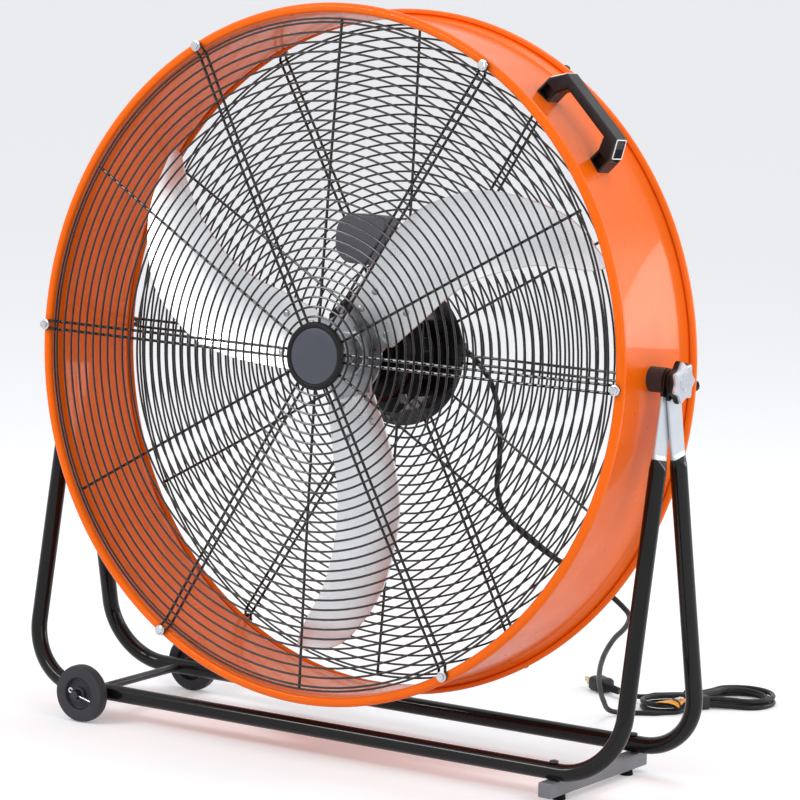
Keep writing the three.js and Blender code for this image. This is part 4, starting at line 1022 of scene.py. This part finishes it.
finish_node('motor_bracket', TUBE_BLACK, 'black_paint', 0.7)
for i, angle in enumerate((45, 135, 225, 315)):
    at = DRUM @ move(polar(69, angle, 27.7)) @ spin(180, 'X')
    head = Parts().take(hexagon(11.3, 0, 4)).take(lathe([(0, -9), (3, -9), (3, 0), (0, 0)], 24))
    add(f'motor_screw_{i + 1}', *head, ZINC, 'drum', 'zinc_steel', at, replaces=(f'motor_bolt_{i + 1}',))

KNOB_R = FIRST_RING + 8.815 * RING_PITCH
knob_at = polar(KNOB_R, 108, 0)
box_back = spoke_height(190) - SPOKE_R - 0.5
box_x, box_z = knob_at.x - 4.82, knob_at.z - 7.04


def pulled(outline, low, high, radius, steps=4):
    """An outline in XZ pulled along Y, its end edges rounded."""
    def inset(amount):
        out = []
        for a, b, c in zip([outline[-1], *outline], outline, [*outline[1:], outline[0]]):
            into, onward = Vector(b) - Vector(a), Vector(c) - Vector(b)
            into = into.normalized() if into.length > 1e-9 else onward.normalized()
            onward = onward.normalized() if onward.length > 1e-9 else into
            n1, n2 = Vector((-into.y, into.x)), Vector((-onward.y, onward.x))
            m = n1 + n2
            m = m.normalized() if m.length > 1e-6 else n1
            out.append(Vector(b) + m * amount / max(0.5, m.dot(n1)))
        return out
    area = sum(a[0] * b[1] - b[0] * a[1] for a, b in zip([outline[-1], *outline], outline))
    sign = 1 if area > 0 else -1
    rings = end_edges(low, high, radius, steps)
    return skin([[Vector((p.x, y, p.y)) for p in inset(sign * r)] for y, r in rings])


box = ring_of([(36, -30), (36, 30), (-21, 30), (-36, 15), (-36, -15), (-21, -30)], 12, 6)
case = pulled([(box_x + x, box_z + z) for x, z in box], box_back - 28, box_back, 3)
add('control_case', *case, SLATE, 'drum', 'grey_paint', DRUM, sharp=50, replaces=('control_box',))
seat_y = spoke_height(KNOB_R) + RING_LIFT + RING_WIRE
grip = Parts()
rings = []
for y, r, depth in ((0, 13.6, 0), (0.5, 14, 0), (3, 14, 0), (3.6, 13.6, 0.5), (10.6, 11.6, 0.7), (11.6, 11, 0.4),
                    (12, 10.4, 0)):
    fluted = [r - depth * (j % 4 < 2) for j in range(96)]
    rings.append([polar(r, 360 * j / 96, seat_y + y) for j, r in enumerate(fluted)])
grip.take(skin(rings))
mark = ring_of([(-1.3, 0.5), (1.3, 0.5), (1.3, 10.4), (-1.3, 10.4)], 0.6, 2)
grip.take(pulled(mark, seat_y + 11.4, seat_y + 13.4, 0.5, 2))
grip.take(lathe([(0, box_back - 10), (3, box_back - 10), (3, seat_y + 1), (0, seat_y + 1)], 24))
add('speed_dial', *grip, PLASTIC, 'speed_knob_body', 'black_plastic', DRUM @ move(knob_at), sharp=40,
    replaces=('speed_knob',))


# ---- Handle, spacers and tilt knobs --------------------------------------------------------
finish_node('handle', PLASTIC, 'black_plastic', 1.1, 25)
HANDLE_ANGLE = 45.5
TO_HANDLE = DRUM @ spin(90 - HANDLE_ANGLE, 'Y')


def panel(inset, height):
    """The outline of a handle's sloped end, inset, at a height over it."""
    w, h = 11.8 - inset, 10.7 - inset
    outline = ring_of([(-w, -h), (w, -h), (w, h), (-w, h)], max(0.4, 2.4 - inset), 5)
    return [Vector((x, y, height)) for x, y in outline]


LIP = [(0, -0.4), (0, 0.3), (0.3, 0.8), (1.2, 0.8), (1.5, 0.5), (1.5, -0.4)]
# The inlay is a shallow dish in near-black rubber. Its black is partly the insert's own colour and partly painted
# shade for the recess of the handle end.
SHADED_INLAY = [(1.6, -0.4), (1.6, 0.3), (2.2, 0.1), (4, -0.1)]
for side, name in ((1, 'right'), (-1, 'left')):
    slope = Vector((side * 12.6, 0, -21)).normalized()
    outwards = Vector((side * 21, 0, 12.6)).normalized()
    turn = Matrix((slope, outwards.cross(slope), outwards)).transposed().to_4x4()
    at = TO_HANDLE @ move((side * 56.2, -7.5, BARREL + 27.5)) @ turn
    lip, shaded_inlay = skin([panel(*p) for p in LIP], closed=True), skin([panel(*p) for p in SHADED_INLAY])
    add(f'handle_{name}_lip', *lip, WHITE_TRIM, 'drum', 'silver_plastic', at)
    add(f'handle_{name}_inlay', *shaded_inlay, RUBBER_AND_RECESS_SHADE, 'drum', 'black_plastic', at)


def turned_x(profile, sides=64):
    verts, faces = lathe(profile, sides)
    return [Vector((v.y, -v.x, v.z)) for v in verts], faces


def star(radius, depth, low, high, round_edge, steps=4):
    """A seven-lobed disc along +X with rounded edges."""
    def ring(x, inset):
        out = []
        for j in range(168):
            a = 2 * math.pi * j / 168
            r = radius - inset - depth * (math.sqrt(math.sin(3.5 * a) ** 2 + 0.02) - 0.14)
            out.append(Vector((x, r * math.cos(a), -r * math.sin(a))))
        return out
    return skin([ring(x, inset) for x, inset in end_edges(low, high, round_edge, steps)])


SEAT_X = BARREL + SPACER + 2 * (GAP + FLAT) + GAP
LEFT = Matrix.Diagonal((-1, -1, 1, 1))
for side, name in ((WORLD, 'right'), (LEFT, 'left')):
    at = move((0, 0, PIVOT)) @ side
    knob = Parts().take(star(25, 5, SEAT_X + 3, SEAT_X + 10.2, 2.2))
    collar = ((0, 0), (14.1, 0), (14.5, 0.4), (14.5, 4), (0, 4))
    knob.take(turned_x([(r, SEAT_X + x) for r, x in collar]))
    knob.take(turned_x([(0, 410.5), (3.4, 410.5), (4, 411.2), (4, SEAT_X + 2), (0, SEAT_X + 2)], 24))
    add(f'{name}_star_knob', *knob, PLASTIC, f'{name}_knob_body', 'black_plastic', at, sharp=50,
        replaces=(f'{name}_knob',))
    low = SEAT_X + 11.7
    cap = Parts().take(star(23.8, 5.4, low - 3.2, low + 2, 1.4, 5))
    disc = ((0, 1), (11.2, 1), (10.6, 2.5), (9.8, 2.9), (9.2, 2.5), (8.8, 2.3), (8.4, 2.9), (0, 2.9))
    cap.take(turned_x([(r, low + x) for r, x in disc]))
    add(f'{name}_star_cap', *cap, SILVER, f'{name}_knob_body', 'silver_plastic', at, sharp=50,
        replaces=(f'{name}_knob_cap',))
    finish_node(f'{name}_spacer', PLASTIC, 'black_plastic', 0.6)


# ---- Stand ---------------------------------------------------------------------------------
BASE_Y, BASE_Z = 88.0, 35.0
TUBE_R, BEND = 10, 75
LEG = math.hypot(BASE_Y, PIVOT - BASE_Z)
INNER_X = BARREL + SPACER + GAP + FLAT / 2
OUTER_X = INNER_X + FLAT + GAP


def tube_stations(leg_x):
    """A leg's sections as (x, drop, half width, half thickness, squareness): cover, bare flat, then tube."""
    cover = []
    for k in range(13):
        a = rad(90 * k / 12)
        cover.append((leg_x, -14 * math.cos(a), max(0.9, 14 * math.sin(a)), 2, 0.3 if k > 6 else 0.45))
    flat = [(leg_x, 19, 14, 2, 0.3), (leg_x, 84, 14, 2, 0.3)]
    cover.append(flat[0])
    blend = []
    for k in range(13):
        t = k / 12
        s = t * t * (3 - 2 * t)
        blend.append((leg_x, 84 + 18 * t, 14 - 4 * s, 2 + 8 * s, 0.3 + 0.7 * s))
    flat += blend[1:5]
    rest = blend[4:]
    for k in range(25):
        a = rad(90 * k / 24)
        rest.append((leg_x - BEND * (1 - math.cos(a)), LEG - BEND * (1 - math.sin(a)), TUBE_R, TUBE_R, 1))
    return cover, flat, rest


def tube_skin(stations, side, sides=40):
    """A skin over a leg's sections, the leg leaning to one side."""
    down = Vector((0, side * BASE_Y, BASE_Z - PIVOT)).normalized()
    across = Vector((1, 0, 0)).cross(down)
    places = [Vector((x, 0, PIVOT)) + down * drop for x, drop, *_ in stations]
    rings = []
    for i, (_, _, *section) in enumerate(stations):
        t = (places[min(i + 1, len(places) - 1)] - places[max(i - 1, 0)]).normalized()
        normal = t.cross(across)
        rings.append([places[i] + across * u + normal * v for u, v in superellipse(*section, sides)])
    return skin(rings)


def mirrored(stations):
    return [(-x, *rest) for x, *rest in reversed(stations)]


for leg_x, side, name in ((INNER_X, -1, 'front'), (OUTER_X, 1, 'rear')):
    cover, flat, rest = tube_stations(leg_x)
    bend = tube_skin([*rest, *mirrored(rest)], side)
    add(f'{name}_stand_tube', *bend, TUBE_BLACK, 'stand', 'black_paint', replaces=(f'{name}_tube',))
    ends = Parts().take(tube_skin(flat, side)).take(tube_skin(mirrored(flat), side))
    add(f'{name}_tube_flats', *ends, SILVER_PAINT, 'stand', 'black_paint', sharp=40)
    tops = Parts().take(tube_skin(cover, side)).take(tube_skin(mirrored(cover), side))
    add(f'{name}_tube_tops', *tops, TUBE_BLACK, 'stand', 'black_paint', sharp=40)

# ---- Wheels and axle -----------------------------------------------------------------------
AXLE_X, BAR_X = -(INNER_X - BEND - 23.3), INNER_X - BEND - 8.3
AXLE = move((AXLE_X, 0, BASE_Z))
BACK, SIDE, FACE = BASE_Y + 10.5, 105.0, 121.0
rim = [(5.4, BACK), (8.5, BACK), (8.5, SIDE + 6), (19, SIDE + 6), (21, SIDE), (32, SIDE), (35, SIDE + 3)]
rim += [(35, FACE - 5.4), (34.1, FACE - 4.9), (34.1, FACE - 3.8), (34.6, FACE - 3.3), (33.4, FACE), (20, FACE)]
rim += [(18.5, FACE - 6), (8.5, FACE - 6), (8.5, FACE + 1), (5.4, FACE + 1), (5.4, BACK)]
wheel = lathe(rounded(rim, 1.1)[:-1], 128, closed=True)
for at, name in ((WORLD, 'rear'), (spin(180, 'Z'), 'front')):
    add(f'{name}_moulded_wheel', *wheel, WHEEL, f'{name}_wheel_body', 'wheel_plastic', AXLE @ at, sharp=40,
        replaces=(f'{name}_wheel',))
half_axle = FACE + 1.5 + 1 + 6
rod = rounded([(0, -half_axle), (5, -half_axle), (5, half_axle), (0, half_axle)], 1, 3)
add('wheel_axle', *lathe(rod, 48), DARK_STEEL, 'stand', 'zinc_steel', AXLE, replaces=('axle',))
for side, name in ((-1, 'front'), (1, 'rear')):
    pin = [Vector((0, 0, z)) for z in np.linspace(-23, 5.6, 10)]
    eye = [rad(a) for a in range(-60, 251, 12)]
    loop = [Vector((2.6 - 2.6 * math.cos(a), 0, 6 + 2.6 * (1 + math.sin(a)))) for a in eye]
    at = AXLE @ move((0, side * (half_axle - 4), 0)) @ spin(-76, 'Y')
    add(f'{name}_split_pin', *tube([*pin, *loop], 1.1, 12), ZINC, 'stand', 'zinc_steel', at,
        replaces=(f'cotter_{name}',))

# ---- Foot bar ------------------------------------------------------------------------------
TOP = BASE_Z - TUBE_R - GAP
bar = pulled(ring_of([(-9, 7), (9, 7), (9, TOP), (-9, TOP)], 2.2, 4), -107, 107, 1.2)
add('grey_foot_bar', *bar, GREY_PAINT, 'stand', 'grey_paint', move((BAR_X, 0, 0)), sharp=50, replaces=('foot_bar',))
foot_verts, foot_faces = lathe(rounded([(0, 0), (8, 0), (7, 6.7), (0, 6.7)], 1), 48)
foot = [(v.x, v.z, v.y) for v in foot_verts], foot_faces
for side, name in ((-1, 'front'), (1, 'rear')):
    add(f'{name}_rubber_foot', *foot, RUBBER_AND_RECESS_SHADE, 'stand', 'foot_rubber', move((BAR_X, side * 75, 0)),
        replaces=(f'foot_{name}',))
    up = move((BAR_X, side * BASE_Y, BASE_Z + TUBE_R + GAP)) @ spin(90, 'X')
    screw = Parts().take(lathe(rounded([(0, 0), (5.6, 0), (5.2, 1.8), (3.4, 2.8), (0, 3)], 1), 32))
    screw.take(lathe([(0, -33), (3, -33), (3, 0.4), (0, 0.4)], 24))
    add(f'{name}_foot_screw', *screw, DARK_STEEL, 'stand', 'zinc_steel', up, replaces=(f'foot_bolt_{name}',))


# ---- Floor, light and world ----------------------------------------------------------------
def looked_at(nodes, links):
    """1 on camera, glossy and transmission rays, else 0."""
    path = nodes.new('ShaderNodeLightPath')
    out = path.outputs['Is Camera Ray']
    for name in ('Is Glossy Ray', 'Is Transmission Ray'):
        more = nodes.new('ShaderNodeMath')
        more.operation = 'MAXIMUM'
        links.new(out, more.inputs[0])
        links.new(path.outputs[name], more.inputs[1])
        out = more.outputs['Value']
    return out


FLOOR_GLOW = 0.2


def floor():
    data = bpy.data.meshes.new('floor')
    data.from_pydata([(-30, -30, 0), (30, -30, 0), (30, 30, 0), (-30, 30, 0)], [], [(0, 1, 2, 3)])
    material = bpy.data.materials.new('floor')
    material.use_nodes = True
    nodes, links = material.node_tree.nodes, material.node_tree.links
    shader = nodes['Principled BSDF']
    shader.inputs['Base Color'].default_value = (0.9, 0.9, 0.9, 1)
    shader.inputs['Roughness'].default_value = 0.8
    shader.inputs['Specular IOR Level'].default_value = 0.1
    glow = nodes.new('ShaderNodeEmission')
    both = nodes.new('ShaderNodeAddShader')
    strength = nodes.new('ShaderNodeMath')
    strength.operation = 'MULTIPLY'
    strength.inputs[1].default_value = FLOOR_GLOW
    links.new(looked_at(nodes, links), strength.inputs[0])
    links.new(strength.outputs['Value'], glow.inputs['Strength'])
    links.new(shader.outputs['BSDF'], both.inputs[0])
    links.new(glow.outputs['Emission'], both.inputs[1])
    links.new(both.outputs['Shader'], nodes['Material Output'].inputs['Surface'])
    data.materials.append(material)
    ground = bpy.data.objects.new('floor', data)
    bpy.context.scene.collection.objects.link(ground)
    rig.stage(ground)


def lamp(name, place, aim, size, power, size_y=None):
    data = bpy.data.lights.new(name, 'AREA')
    data.energy = power
    data.size = size
    if size_y:
        data.shape = 'RECTANGLE'
        data.size_y = size_y
    light = bpy.data.objects.new(name, data)
    light.location = place
    light.rotation_euler = (Vector(aim) - Vector(place)).to_track_quat('-Z', 'Y').to_euler()
    light.visible_camera = False
    bpy.context.scene.collection.objects.link(light)


def world():
    space = bpy.data.worlds.new('room')
    bpy.context.scene.world = space
    space.use_nodes = True
    nodes, links = space.node_tree.nodes, space.node_tree.links
    seen, room = nodes['Background'], nodes.new('ShaderNodeBackground')
    seen.inputs['Color'].default_value = (1, 1, 1, 1)
    seen.inputs['Strength'].default_value = 1.0
    room.inputs['Color'].default_value = (0.93, 0.95, 1, 1)
    room.inputs['Strength'].default_value = 0.72
    mix = nodes.new('ShaderNodeMixShader')
    links.new(looked_at(nodes, links), mix.inputs['Fac'])
    links.new(room.outputs['Background'], mix.inputs[1])
    links.new(seen.outputs['Background'], mix.inputs[2])
    links.new(mix.outputs['Shader'], nodes['World Output'].inputs['Surface'])


floor()
world()
lamp('key', (-1.3, -2.2, 2.3), (0, 0, 0.45), 1.7, 38, 0.5)
lamp('side', (2.6, -0.6, 1.5), (0.2, 0, 0.45), 0.8, 15, 1.4)
lamp('top', (0.3, 0.9, 2.6), (0, 0, 0.5), 1.4, 13)
lamp('patch', (1.8, 2.1, 0.95), (0.35, 0, 0.55), 0.8, 14, 1.0)

with open('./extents.json', 'w') as out:
    json.dump({'cad': cad_box, 'scene': [list(corner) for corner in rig.bounds()]}, out)
